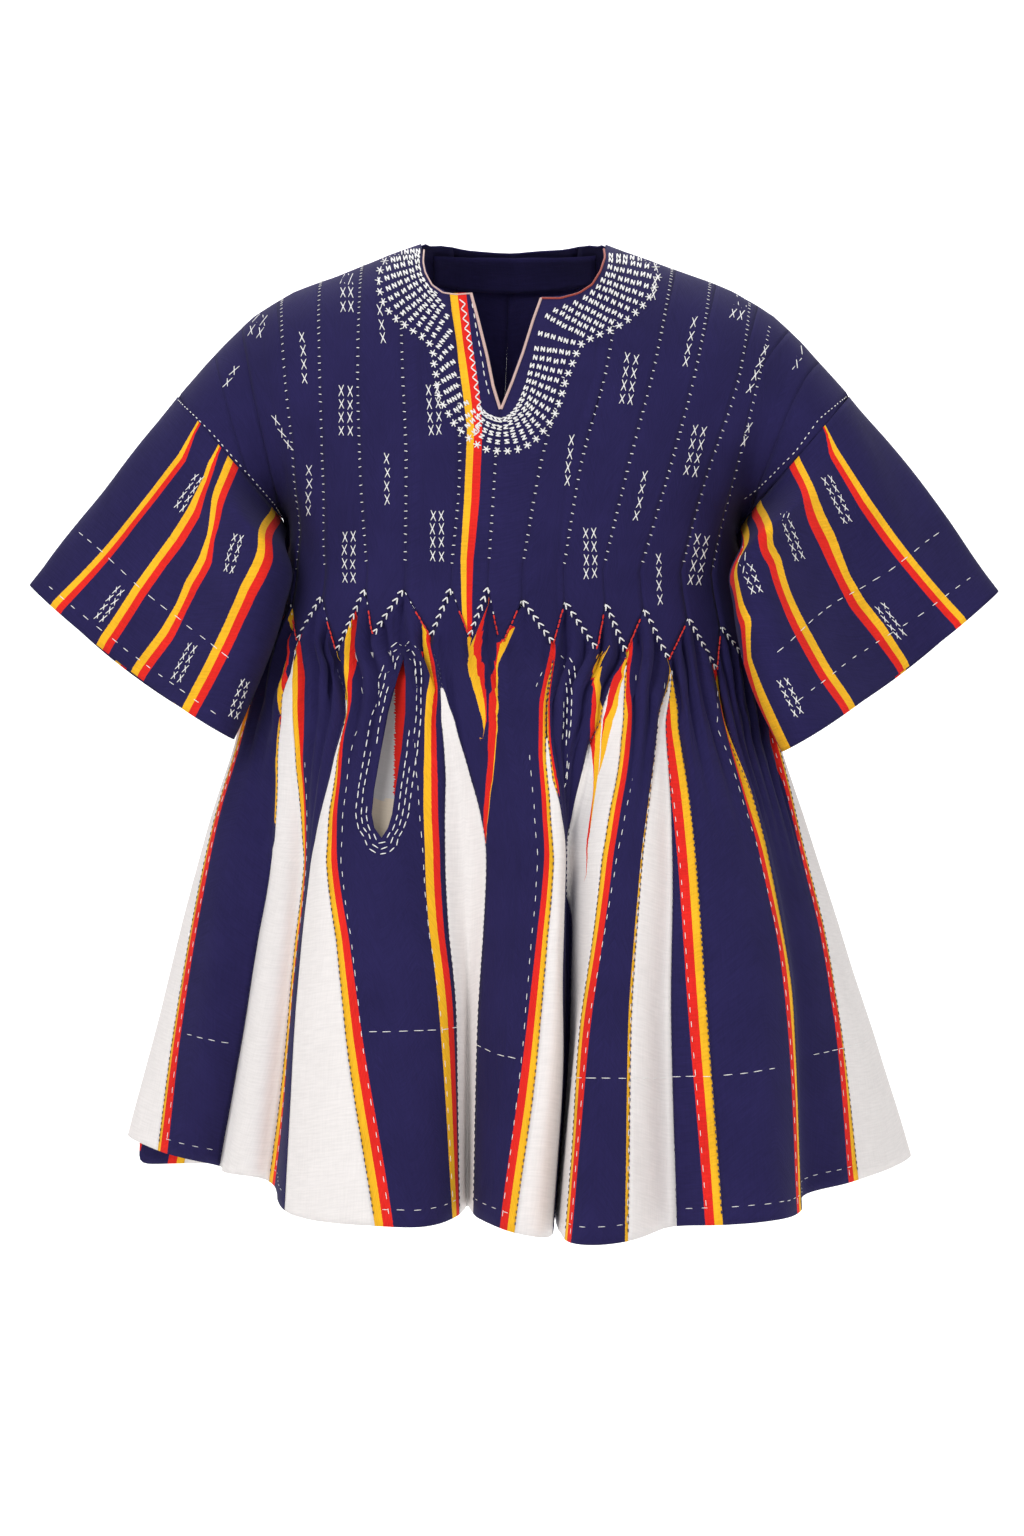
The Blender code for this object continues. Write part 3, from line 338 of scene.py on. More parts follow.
RED_FIRST = ("gore_front_1", "gore_front_2", "gore_front_3_pocket", "gore_front_6")

# Where the yellow and red halves of a sleeve's stripes meet, down the front: x and y in pixels
# of the photograph, half width in millimetres. Side -1 is on the photograph's left.
SLEEVE_STRIPES = {
    -1: [
        [(194, 431, 2), (182, 457, 4.5), (155, 493, 4.5), (132, 521, 4.5), (105, 554, 5), (58, 605, 6)],
        [(217, 452, 2), (211, 467, 4), (207, 482, 4), (196, 512, 6), (178, 541, 6), (162, 562, 6),
         (140, 592, 6.5), (107, 641, 6.8)],
        [(229, 471, 6.5), (220, 498, 6), (212, 536, 3), (205, 560, 5), (190, 585, 5),
         (180, 607, 4.5), (166, 634, 6), (140, 670, 7)],
        [(276, 510, 4), (264, 553, 6), (248, 590, 6.5), (236, 617, 6.5), (220, 651, 7), (191, 707, 7)],
    ],
    1: [
        [(826, 430, 1.5), (833, 452, 5), (863, 502, 6), (890, 540, 6), (919, 576, 6), (959, 621, 6)],
        [(795, 464, 6), (810, 498, 6), (827, 540, 6), (844, 578, 5), (858, 604, 6), (879, 631, 6.5),
         (901, 663, 6)],
        [(755, 498, 5), (765, 524, 5.5), (776, 562, 6), (787, 597, 5.5), (795, 616, 6),
         (808, 642, 6.5), (825, 673, 6.5), (846, 703, 6.5)],
        [(734, 560, 3), (740, 608, 5), (747, 623, 5), (747, 661, 4), (756, 692, 6), (765, 714, 6.5),
         (778, 744, 6.5)],
    ],
}

# The stripes of a sleeve's back, which the photograph doesn't show: share across at the
# armhole and at the cuff.
BACK_STRIPES = [(0.18, 0.15), (0.45, 0.42), (0.72, 0.70), (0.93, 0.92)]

# The bodice's stripe: y and left edge in pixels, width in millimetres.
BODICE_STRIPE = [
    (295, 450, 13.5), (340, 455, 13.5), (370, 459.6, 13.5), (395, 463, 13.5), (429, 467, 12.5),
    (455, 466, 12.5), (500, 464, 12.5), (540, 461.5, 11.5), (560, 460.5, 10.5), (600, 461.5, 8.5),
    (635, 463.5, 7),
]

# Crosses sewn on the bodice, in pixels of the photograph: middle x, y, columns, rows, lean.
CROSSES = [
    (347, 293, 2, 3, 0.0), (304, 358, 1, 4, 0.05), (346, 411, 2, 4, 0.0), (381, 324, 1, 3, 0.1),
    (258, 326, 2, 2, -0.3), (231, 376, 1, 2, -0.5), (283, 432, 1, 3, 0.5), (434, 410, 2, 4, 0.05),
    (310, 490, 1, 4, 0.0), (387, 479, 1, 4, 0.0), (349, 557, 2, 4, 0.0), (437, 536, 2, 4, 0.0),
    (629, 379, 2, 4, -0.12), (690, 342, 1, 4, -0.2), (739, 308, 2, 2, -0.3), (756, 370, 1, 4, -0.4),
    (799, 357, 1, 2, -0.4), (655, 281, 1, 3, -0.1), (695, 451, 2, 4, -0.2), (746, 434, 1, 2, -0.4),
    (569, 460, 1, 4, -0.1), (590, 553, 2, 4, 0.0), (640, 496, 1, 4, -0.2), (659, 579, 1, 4, 0.05),
    (698, 560, 2, 4, -0.15),
]

# Crosses on the sleeves, in pixels: middle x, y, columns, rows, lean.
SLEEVE_CROSSES = [
    (190, 493, 2, 4, -0.6), (233, 553, 2, 4, -0.32), (110, 604, 2, 4, -0.7), (183, 662, 2, 4, -0.45),
    (239, 699, 2, 4, -0.33), (835, 500, 2, 5, 0.45), (794, 536, 2, 5, 0.39), (751, 574, 2, 4, 0.32),
    (890, 621, 2, 4, 0.75), (790, 697, 2, 4, 0.45),
]

# Rows of ladder stitches round the neck, in pixels: where a row starts by the edge, where it ends.
NECK_ROWS = [
    (424, 251, 392, 254), (423, 257, 382, 265), (423, 263, 379, 276), (424, 269, 379, 287),
    (426, 275, 381, 298), (430, 281, 386, 308), (434, 287, 394, 317), (439, 292, 405, 325),
    (443, 297, 416, 333), (448, 305, 428, 340), (453, 325, 433, 352), (455, 343, 434, 364),
    (457, 358, 436, 374), (459, 372, 437, 385), (462, 386, 439, 398), (466, 399, 447, 411),
    (484, 405, 453, 422), (488, 409, 462, 432), (492, 412, 473, 442), (497, 413, 484, 449),
    (501, 414, 497, 451), (505, 413, 511, 451), (509, 410, 523, 448), (513, 405, 535, 440),
    (516, 399, 545, 429), (518, 392, 554, 416), (521, 385, 559, 403), (523, 376, 563, 390),
    (526, 366, 567, 376), (529, 355, 573, 362), (531, 344, 578, 349), (536, 329, 582, 343),
    (542, 314, 590, 339), (552, 307, 601, 334), (564, 303, 614, 329), (576, 298, 624, 323),
    (586, 292, 634, 314), (594, 284, 645, 303), (600, 276, 653, 291), (603, 268, 658, 279),
    (605, 260, 656, 268), (605, 254, 646, 257),
]

NECK_ROW_PITCH = 10.6

# The neck edge in front, in pixels: left shoulder, down to the slit, and up to the right one.
NECK_EDGE_LEFT = [(424, 250), (423, 262), (425, 272), (432, 285), (443, 293), (457, 295), (471, 294)]
SLIT_EDGE_LEFT = [(471, 294), (478, 320), (487, 356), (493, 386), (500, 409)]
SLIT_EDGE_RIGHT = [(541, 298), (533, 320), (523, 352), (512, 382), (501, 409)]
NECK_EDGE_RIGHT = [(541, 298), (560, 298), (579, 293), (592, 285), (600, 272), (605, 257), (604, 249)]

# Inside the pocket mouth: x where the red band begins, height below which the patch is cream.
POCKET_BAND = (-0.0973, -0.4718)

# Stitches over the bodice's red stripe near the neck, in pixels.
STRIPE_ZIGZAG = [(462, 300), (470, 345), (476, 385), (480, 412), (476, 436)]
SLIT_DASHES = [(472, 302), (479, 345), (485, 378), (491, 402)]

# The right pocket's rings, half hidden in their fold, in pixels.
RIGHT_RINGS = [
    [(560, 656), (568, 658), (574, 668), (577, 690), (576, 712), (572, 740), (567, 768), (562, 797)],
    [(563, 663), (569, 672), (571.5, 695), (570.5, 720), (567, 750), (564, 780)],
    [(564, 674), (567, 690), (566.5, 720), (564.5, 750)], [(563, 690), (563.5, 720), (562.5, 745)],
]

# Rows of running stitch along the hem and on the cuffs, in pixels.
HEM_DASHES = [
    [(185, 1034), (217, 1041), (238, 1044)], [(365, 1032), (439, 1030), (460, 1027)],
    [(475, 1044), (493, 1053), (524, 1061)], [(569, 1078), (629, 1079), (675, 1077), (718, 1076)],
    [(720, 1076), (755, 1072), (784, 1067)], [(810, 1055), (844, 1048), (882, 1036)],
]
CUFF_DASHES = [
    [(78, 531), (126, 574), (185, 625), (240, 666)], [(38, 577), (87, 619), (155, 672), (220, 717)],
    [(942, 531), (882, 575), (832, 605), (767, 660)], [(974, 575), (924, 612), (859, 654), (786, 709)],
]
ARMHOLE_DOTS = [
    [(178, 400), (210, 431), (275, 505), (284, 520)], [(846, 397), (819, 419), (796, 451), (745, 502)],
]


def length_setting(name, description, default, low, high):
    """A length that the user may change."""
    return bpy.props.FloatProperty(
        name=name, description=description, default=default, min=low, max=high, unit="LENGTH")


def colour_setting(name, description, default):
    """A colour that the user may change."""
    return bpy.props.FloatVectorProperty(
        name=name, description=description, default=default, min=0, max=1, subtype="COLOR")


class SmockCloth(bpy.types.PropertyGroup):
    """Sizes of the cloth and how deep its folds are."""

    thickness: length_setting("Cloth thickness", "Thickness of each sheet", 0.0014, 0.0005, 0.003)
    pitch: length_setting("Mesh pitch", "Width of one face of a sheet", 0.0048, 0.002, 0.02)
    gather: length_setting(
        "Gather depth", "Depth of the small gathers under the waist seam", 0.0056, 0.0, 0.006)
    wrinkle: length_setting(
        "Wrinkle depth", "Depth of the soft unevenness of the cloth", 0.0020, 0.0, 0.006)


class SmockThread(bpy.types.PropertyGroup):
    """Sizes of the threads across the strip seams."""

    tick: length_setting("Seam tick", "Length of the stitches across a strip seam", 0.0026, 0.001, 0.01)
    pitch: length_setting(
        "Seam pitch", "Distance between two stitches of a strip seam", 0.0068, 0.002, 0.02)


class SmockColours(bpy.types.PropertyGroup):
    """Colours of the cloth and the threads."""

    navy: colour_setting("Navy", "Ground of the strips and gores", (0.0195, 0.0155, 0.075))
    white: colour_setting("White", "Cloth of the godets", (0.82, 0.78, 0.765))
    yellow: colour_setting("Yellow", "Outer stripe", (0.90, 0.47, 0.020))
    red: colour_setting("Red", "Inner stripe", (0.75, 0.022, 0.016))
    lining: colour_setting("Lining", "White cloth inside the pocket", (0.62, 0.60, 0.60))
    pink: colour_setting("Pink cord", "Cord at the neck edge", (0.62, 0.42, 0.38))
    rust: colour_setting("Rust cord", "Cord at the right neck edge", (0.32, 0.045, 0.03))
    cream: colour_setting("Cream", "Cloth of the pocket bag", (0.72, 0.62, 0.50))
    thread: colour_setting("Thread", "White embroidery thread", (0.88, 0.87, 0.86))


def cloth():
    """Settings of the cloth."""
    return bpy.context.scene.smock_cloth


def thread():
    """Settings of the threads."""
    return bpy.context.scene.smock_thread


def colours():
    """Settings of the colours."""
    return bpy.context.scene.smock_colours


def new_item(name, data):
    """An object in the scene with this data, at the origin."""
    item = bpy.data.objects.new(name, data)
    bpy.context.scene.collection.objects.link(item)
    return item


def mesh_item(name, bm):
    """An object with the mesh of a bmesh, which is freed."""
    mesh = bpy.data.meshes.new(name)
    bm.to_mesh(mesh)
    bm.free()
    return new_item(name, mesh)


def distances(points):
    """How far each point of a line is from its first one, along the line."""
    steps = np.linalg.norm(np.diff(np.asarray(points, float), axis=0), axis=1)
    return np.concatenate([[0.0], np.cumsum(steps)])


def along_line(place, arcs, points):
    """The point at a distance along a line."""
    return np.array([np.interp(place, arcs, points[:, axis]) for axis in range(points.shape[1])])


def run_of(pixels, place, count):
    """A line of pixels carried onto the cloth by a function, so many points a stretch."""
    return [place(px, py) for px, py in densify(pixels, count)]


def quarter_round(share):
    """Height of a quarter circle, 0 at its edge and 1 from its middle on."""
    share = min(max(share, 0.0), 1.0)
    return math.sqrt(1.0 - (1.0 - share) ** 2)


def shoulder_height(x):
    """Height of the shoulder line at this distance from the middle."""
    return float(np.interp(abs(x), SHOULDER_LINE[:, 0], SHOULDER_LINE[:, 1]))


def torso_size(z):
    """Half width and half depth of the body at this height."""
    width = float(np.interp(-z, -TORSO[:, 0], TORSO[:, 1]))
    depth = float(np.interp(-z, -TORSO[:, 0], TORSO[:, 2]))
    return width, depth


def cloth_depth(x, z):
    """How far the cloth stands from the middle plane, body and upper arm joined by a crease."""
    side = abs(x)
    below = shoulder_height(side) - z
    width, depth = torso_size(z)
    share = min(side / width, 1.0)
    body = depth * (1.0 - share ** 2.4) ** (1 / 2.4) * quarter_round(below / SHOULDER_DROP)
    across = UNDERARM - SHOULDER_TIP
    length = float(np.hypot(across[0], across[1]))
    middle = (SHOULDER_TIP + UNDERARM) / 2.0
    offset = (-side - middle[0]) * across[0] + (z - middle[1]) * across[1]
    lower = min(max(2.0 * offset / length ** 2, 0.0), 1.0)
    arm = ARM_DEPTH * quarter_round(below / 0.1) * math.sqrt(1.0 - lower ** 2)
    return (body ** 6 + arm ** 6) ** (1 / 6)


def cloth_normal(x, z, face):
    """Outward direction of the upper cloth, face -1 in front and 1 behind."""
    step = 0.0006
    below = shoulder_height(x) - z
    if below < 1e-6:
        slope = (shoulder_height(abs(x) + step) - shoulder_height(abs(x) - step)) / (2 * step)
        normal = np.array([-slope * np.sign(x), 0.0, 1.0])
        return normal / np.linalg.norm(normal)
    width = torso_size(z)[0]
    if z < UNDERARM[1]:
        x = max(min(x, width - 2 * step), -width + 2 * step)
    lean_x = (cloth_depth(x + step, z) - cloth_depth(x - step, z)) / (2 * step)
    up = min(z + step, shoulder_height(x) - 1e-5)
    lean_z = (cloth_depth(x, up) - cloth_depth(x, z - step)) / (up - z + step)
    normal = np.array([-lean_x, face, -lean_z])
    return normal / np.linalg.norm(normal)


def curve(xs, ys, at):
    """Smooth curve through a few values that never swings past them."""
    xs = np.asarray(xs, float)
    ys = np.asarray(ys, float)
    gaps = np.diff(xs)
    slopes = np.diff(ys) / gaps
    tangents = np.zeros(len(xs))
    same = slopes[:-1] * slopes[1:] > 0
    first = 2 * gaps[1:] + gaps[:-1]
    second = gaps[1:] + 2 * gaps[:-1]
    with np.errstate(divide="ignore", invalid="ignore"):
        mean = (first + second) / (first / slopes[:-1] + second / slopes[1:])
    tangents[1:-1] = np.where(same, mean, 0.0)
    tangents[0] = slopes[0]
    tangents[-1] = slopes[-1]
    at = np.clip(at, xs[0], xs[-1])
    i = np.clip(np.searchsorted(xs, at, side="right") - 1, 0, len(xs) - 2)
    share = (at - xs[i]) / gaps[i]
    square = share * share
    cube = square * share
    start = (2 * cube - 3 * square + 1) * ys[i] + (cube - 2 * square + share) * gaps[i] * tangents[i]
    end = (3 * square - 2 * cube) * ys[i + 1] + (cube - square) * gaps[i] * tangents[i + 1]
    return start + end


def body_ring(angle, z):
    """A point on the body below the underarm, the angle in degrees from the front."""
    width, depth = torso_size(z)
    turn = math.radians(angle)
    share = abs(math.sin(turn))
    y = depth * (1.0 - min(share, 1.0) ** 2.4) ** (1 / 2.4)
    return np.array([width * math.sin(turn), -y if math.cos(turn) > 0 else y, z])


def back_folds():
    """Rows like those of FRONT_FOLDS for the back, a crest in each gore, a valley in each godet."""
    rows = []
    for i, (waist, hem) in enumerate(BACK_SEAMS):
        end = BACK_SEAMS[i + 1] if i + 1 < len(BACK_SEAMS) else BACK_END
        start = hem if i == 0 else hem + BACK_GODET_ANGLE
        marks = [] if i == 0 else [(waist, hem, BACK_EDGE),
                                   (waist, hem + BACK_GODET_ANGLE / 2, BACK_VALLEY),
                                   (waist, start, BACK_EDGE)]
        crest = BACK_CREST * (0.1 if i in (0, len(BACK_SEAMS) - 1) else 1.0)
        marks.append(((waist + end[0]) / 2, (start + end[1]) / 2, crest))
        rows += [back_fold(i, *mark) for mark in marks]
    return rows


def back_fold(number, waist, hem, rise):
    """One fold line of the back, its rise a share of the distance from the middle."""
    turn = np.radians(waist + (hem - waist) * BACK_GROWTH)
    reach = 1.0 + rise * (1.0 + 0.12 * math.sin(2.3 * number)) * BACK_GROWTH
    x = BACK_HALF_WIDTH * reach * np.sin(turn)
    y = -BACK_HALF_DEPTH * reach * np.cos(turn)
    height = BACK_HEM_Z + 0.006 * math.sin(1.7 * number + 1.0)
    return ["back%d" % number, waist, *(x / MM), *(y / MM), height / MM]


def fold_table():
    """Every fold line in order round the garment, closed on its first line."""
    rows = [list(row) for row in FRONT_FOLDS] + back_folds()
    last = list(FRONT_FOLDS[0])
    last[0] = "end"
    last[1] = 285
    return rows + [last]


def waist_height(angle):
    """Height of the pointed waist seam, the back like the front."""
    angle = (angle + 90.0) % 360.0 - 90.0
    angle = 180.0 - angle if angle > 90.0 else angle
    marks = np.array(WAIST_POINTS, float)
    return float(np.interp(angle, marks[:, 0], marks[:, 1])) * MM


def skirt_grid(rows):
    """Points of the skirt on an even grid: 201 levels down by samples across the folds."""
    count = len(rows)
    angles = np.array([row[1] for row in rows], float)
    hems = np.array([row[10] for row in rows]) * MM
    levels = np.linspace(0.0, 1.0, 201)
    lines = np.zeros((len(levels), count, 3))
    for i, row in enumerate(rows):
        start = body_ring(row[1], WAIST_Z)
        lines[:, i, 0] = curve(DOWN, [start[0]] + [v * MM for v in row[2:6]], levels)
        lines[:, i, 1] = curve(DOWN, [start[1]] + [v * MM for v in row[6:10]], levels)
        lines[:, i, 2] = WAIST_Z + levels * (hems[i] - WAIST_Z)
    knots = np.arange(-2, count + 2)
    picks = np.concatenate([[count - 3, count - 2], np.arange(count), [1, 2]])
    samples = np.linspace(0.0, count - 1.0, (count - 1) * FOLD_SAMPLES + 1)
    grid = np.zeros((len(levels), len(samples), 3))
    tips = [waist_height(angle) for angle in angles]
    leave = [(WAIST_Z - tip) / (WAIST_Z - hem) for tip, hem in zip(tips, hems)]
    leave = np.interp(samples, np.arange(count), leave)
    turns = np.interp(samples, np.arange(count), angles)
    for k in range(len(levels)):
        for axis in range(3):
            grid[k, :, axis] = curve(knots, lines[k, picks, axis], samples)
        free = np.clip((levels[k] - leave) / 0.1, 0.0, 1.0)[:, None]
        free = free * free * (3 - 2 * free)
        ring = np.array([body_ring(a, z) for a, z in zip(turns, grid[k, :, 2])])
        grid[k] = ring * (1 - free) + soften(grid[k]) * free
    return samples, angles, hems, grid


def soften(ring):
    """Round the folds of one closed section."""
    reach = 3 * FOLD_SOFTNESS
    weights = np.exp(-0.5 * (np.arange(-reach, reach + 1) / FOLD_SOFTNESS) ** 2)
    weights /= weights.sum()
    loop = np.concatenate([ring[-reach - 1:-1], ring, ring[1:reach + 1]])
    return np.stack([np.convolve(loop[:, axis], weights, mode="valid") for axis in range(3)], axis=1)


FOLDS = fold_table()
FOLD_NAMES = [row[0] for row in FOLDS]
SAMPLES, FOLD_ANGLES, HEM_HEIGHTS, GRID = skirt_grid(FOLDS)
STEPS = np.linalg.norm(np.diff(GRID, axis=1), axis=2)
ARCS = np.concatenate([np.zeros((len(GRID), 1)), np.cumsum(STEPS, axis=1)], axis=1)


def ring_at(level):
    """The closed section at this share of the way down: its points and their distances."""
    place = min(max(level, 0.0), 1.0) * (len(GRID) - 1)
    low = min(int(place), len(GRID) - 2)
    share = place - low
    points = GRID[low] * (1 - share) + GRID[low + 1] * share
    arcs = ARCS[low] * (1 - share) + ARCS[low + 1] * share
    return points, arcs


def arc_of(level, line):
    """Distance round the section to a fold line, given as a number along the table."""
    return float(np.interp(line, SAMPLES, ring_at(level)[1]))


def skirt_point(level, arc):
    """Point and outward direction at a distance round the section."""

    def place(where, points, arcs):
        return along_line(where % arcs[-1], arcs, points)

    ring = ring_at(level)
    arcs = ring[1]
    along = place(arc + RING_STEP, *ring) - place(arc - RING_STEP, *ring)
    line = float(np.interp(arc % arcs[-1], arcs + np.arange(len(arcs)) * 1e-12, SAMPLES))
    above = ring_at(level - LEVEL_STEP)
    under = ring_at(level + LEVEL_STEP)
    top = place(float(np.interp(line, SAMPLES, above[1])), *above)
    low = place(float(np.interp(line, SAMPLES, under[1])), *under)
    normal = np.cross(along, top - low)
    normal /= np.linalg.norm(normal)
    return place(arc, *ring), normal


def waist_marks(start, end):
    """Angles of the waist seam's corners between two angles."""
    front = [mark[0] for mark in WAIST_POINTS]
    every = sorted(set(front + [180 - angle for angle in front] + [360 + angle for angle in front]))
    return [angle for angle in every if start + 0.5 < angle < end - 0.5]


def level_of(height, line):
    """Share of the way down at which a fold line has this height."""
    hem = float(np.interp(line, np.arange(len(HEM_HEIGHTS)), HEM_HEIGHTS))
    return (WAIST_Z - height) / (WAIST_Z - hem)


def line_of_angle(angle, first=0, last=None):
    """Number of the fold line at an angle round the waist, between two fold lines."""
    last = len(FOLD_ANGLES) - 1 if last is None else last
    angle += 360.0 if angle < FOLD_ANGLES[0] else 0.0
    angles = FOLD_ANGLES[first:last + 1] + np.arange(last - first + 1) * 1e-6
    return first + float(np.interp(angle, angles, np.arange(last - first + 1)))


def seam_x(seam, z, top_z):
    """Where a strip seam lies at this height, front or back alike."""
    width = torso_size(WAIST_Z)[0]
    if seam[4] is not None and abs(seam[4]) == 90:
        if z <= UNDERARM[1]:
            return math.copysign(torso_size(z)[0], seam[4])
        heights = [UNDERARM[1], -0.2, -0.12, top_z]
        values = [math.copysign(-UNDERARM[0], seam[4]), seam[3] * MM, seam[2] * MM, seam[1] * MM]
    else:
        heights = [WAIST_Z, -0.2, -0.12, top_z]
        values = [width * math.sin(math.radians(seam[4])), seam[3] * MM, seam[2] * MM, seam[1] * MM]
    return float(curve(heights, values, z))


def between(left, right, share):
    """A seam row part of the way from one seam to the next."""
    angles = [angle for angle in waist_marks(left[4], right[4])]
    middle = angles[len(angles) // 2]
    if share <= 0.5:
        angle = left[4] + (middle - left[4]) * share * 2
    else:
        angle = middle + (right[4] - middle) * (share * 2 - 1)
    mixed = [left[i] + (right[i] - left[i]) * share for i in (1, 2, 3)]
    return ("mid", mixed[0], mixed[1], mixed[2], angle)


def upper_point(x, z, face):
    """Cloth point above the waist and its outward direction."""
    depth = max(cloth_depth(x, z), SEAM_GAP / 2)
    if shoulder_height(x) - z < 1e-6:
        depth = 0.0
    return np.array([x, face * depth, z]), cloth_normal(x, z, face)


def sleeve_normal(turn, share, middle, side):
    """Outward direction of the left sleeve, at its seam the same as the bodice's."""
    if share == 0.0 and abs(math.sin(turn)) > 0.01:
        seam = SHOULDER_TIP + (UNDERARM - SHOULDER_TIP) * (1 - math.cos(turn)) / 2
        return cloth_normal(seam[0], seam[1], -1 if math.sin(turn) > 0 else 1)
    ahead = sleeve_point(turn + 0.03, share, side) - sleeve_point(turn - 0.03, share, side)
    low = sleeve_point(turn, max(share - 0.02, 0.0), side)
    down = sleeve_point(turn, min(share + 0.02, 1.0), side) - low
    normal = np.cross(ahead, down)
    normal /= np.linalg.norm(normal)
    return normal if np.dot(normal, low - middle) > 0 else -normal


def sleeve_point(turn, share, side):
    """Point of a sleeve, as if on the left: turn 0 on top, a quarter in front, share 1 at the cuff."""
    cuff_top, cuff_bottom, swing_in, swing_forward = SLEEVES[side]
    w = (1 - math.cos(turn)) / 2
    along = UNDERARM - SHOULDER_TIP
    outward = np.array([along[1], -along[0]]) / np.hypot(*along)
    seam = SHOULDER_TIP + along * w
    depth = cloth_depth(seam[0], seam[1])
    front = math.sin(turn)
    seam_y = -math.copysign(max(depth, 0.0002), front) if abs(front) > 1e-9 else 0.0
    seam = seam + outward * (SEAM_GAP / 2 + UNDERARM_EASE * max(10 * w - 9, 0.0))
    cuff = cuff_top + (cuff_bottom - cuff_top) * w
    axis = (cuff_top + cuff_bottom) / 2 - (SHOULDER_TIP + UNDERARM) / 2
    axis = axis / np.hypot(*axis)
    drop = (0.006 if front > 0 else 0.013) * front * front
    cuff = cuff + axis * drop
    cuff_y = -CUFF_DEPTH * math.copysign(abs(front) ** 0.85, front)
    ease = soft_step(share) * 0.5 + share * 0.5
    flat = seam + (cuff - seam) * share
    y = seam_y + (cuff_y - seam_y) * ease
    ripple = 0.004 * math.sin(math.pi * share) * math.sin(4 * turn + 1.2)
    y = y * (1 + 0.04 * math.sin(math.pi * share)) + ripple * abs(front)
    near = swing_share(w, front)
    forward = soft_step(share / 0.2)
    inward = soft_step(share / 0.3) * math.sin(math.pi * share ** 0.85)
    x = flat[0] + swing_in * inward * near ** (1 if front >= 0 else 4)
    return np.array([x, y - swing_forward * forward * near, flat[1]])


def swing_share(w, front):
    """How much of the underarm's swing a place round the sleeve takes up."""
    return soft_step((w - 0.35) / 0.65) if front >= 0 else soft_step((w - 0.72) / 0.28)


def soft_step(share):
    """A soft rise from 0 to 1."""
    share = min(max(share, 0.0), 1.0)
    return share * share * (3 - 2 * share)


def unevenness(point, across, along):
    """Soft noise of the cloth, its waves so many a metre across and along the body."""
    place = Vector((point[0] * across, point[1] * across, point[2] * along))
    return noise.noise(place) + 0.4 * noise.noise(place * 2.3 + Vector((5.1, 1.7, 3.3)))


def bodice_crease(point):
    """How far the bodice's cloth stands out here: long soft wrinkles and the armpit fold."""
    side = abs(point[0])
    rise = cloth().wrinkle * 0.7 * unevenness(point, 16, 5)
    inner = 0.222 - (-0.12 - point[2]) * 0.30
    away = (side - inner) / 0.012
    length = soft_step((-0.07 - point[2]) / 0.05) * soft_step((point[2] + 0.29) / 0.05)
    rise -= 0.0028 * math.exp(-away * away) * length
    rise += 0.0016 * math.exp(-(away + 1.8) ** 2) * length
    second = (side - inner + 0.034) / 0.010
    rise -= 0.0016 * math.exp(-second * second) * soft_step((-0.16 - point[2]) / 0.06) * length
    return rise


def skirt_crease(point, line):
    """How far the skirt's cloth stands out here: gathers under the waist and soft waves."""
    angle = float(np.interp(line, np.arange(len(FOLD_ANGLES)), FOLD_ANGLES))
    below = waist_height(angle) - point[2]
    fade = soft_step(below / 0.012) * math.exp(-(max(below - 0.01, 0.0) / 0.095) ** 2)
    swing = 1.1 * noise.noise(Vector((angle * 0.07, point[2] * 9, 0.0)))
    wave = math.sin(angle * 1.45 + 2.2 * swing) + 0.5 * math.sin(angle * 2.9 + 1.0 + 3 * swing)
    rise = cloth().gather * fade * wave
    rise += cloth().wrinkle * soft_step(below / 0.05) * unevenness(point, 20, 4)
    return rise


def sleeve_crease(turn, share, side):
    """How far a sleeve's cloth stands out here: folds that run down from the armhole."""
    middle = math.sin(math.pi * min(share * 1.1, 1.0)) * 0.8 + 0.2 * soft_step(share * 4)
    place = Vector((turn * 1.9, share * 1.6, 3.0 + side))
    fold = math.sin(5.0 * turn + 1.4 * share + 0.6 * side) * 0.6 + noise.noise(place) * 1.1
    under = math.exp(-((turn - 3.25) / 0.6) ** 2) * soft_step(share / 0.04)
    return 0.0042 * middle * fold + 0.0055 * under * soft_step((0.42 - share) / 0.2)


def tuck_at(table, below):
    """Tuck of a gore's stripes at this distance below the waist, in metres."""
    xs = [row[0] * MM for row in table]
    ys = [row[1] * MM for row in table]
    return float(np.interp(below, xs, ys))


def rows_of(columns, part):
    """The points, part 0, or the directions, part 1, of columns, as an array row by row."""
    return np.array([[column[r][part] for column in columns] for r in range(len(columns[0]))])


def grid_lengths(points):
    """Distances across each row and down each column of a grid of points."""
    across = np.linalg.norm(np.diff(points, axis=1), axis=2)
    down = np.linalg.norm(np.diff(points, axis=0), axis=2)
    across = np.concatenate([np.zeros((len(points), 1)), np.cumsum(across, axis=1)], axis=1)
    down = np.concatenate([np.zeros((1, points.shape[1])), np.cumsum(down, axis=0)], axis=0)
    return across, down


def strip_width(points):
    """Usual distance between the two selvedges of a strip, square to its length."""
    chords = points[:, -1] - points[:, 0]
    ways = np.gradient((points[:, 0] + points[:, -1]) / 2, axis=0)
    ways /= np.linalg.norm(ways, axis=1)[:, None]
    return float(np.median(np.linalg.norm(np.cross(chords, ways), axis=1)))


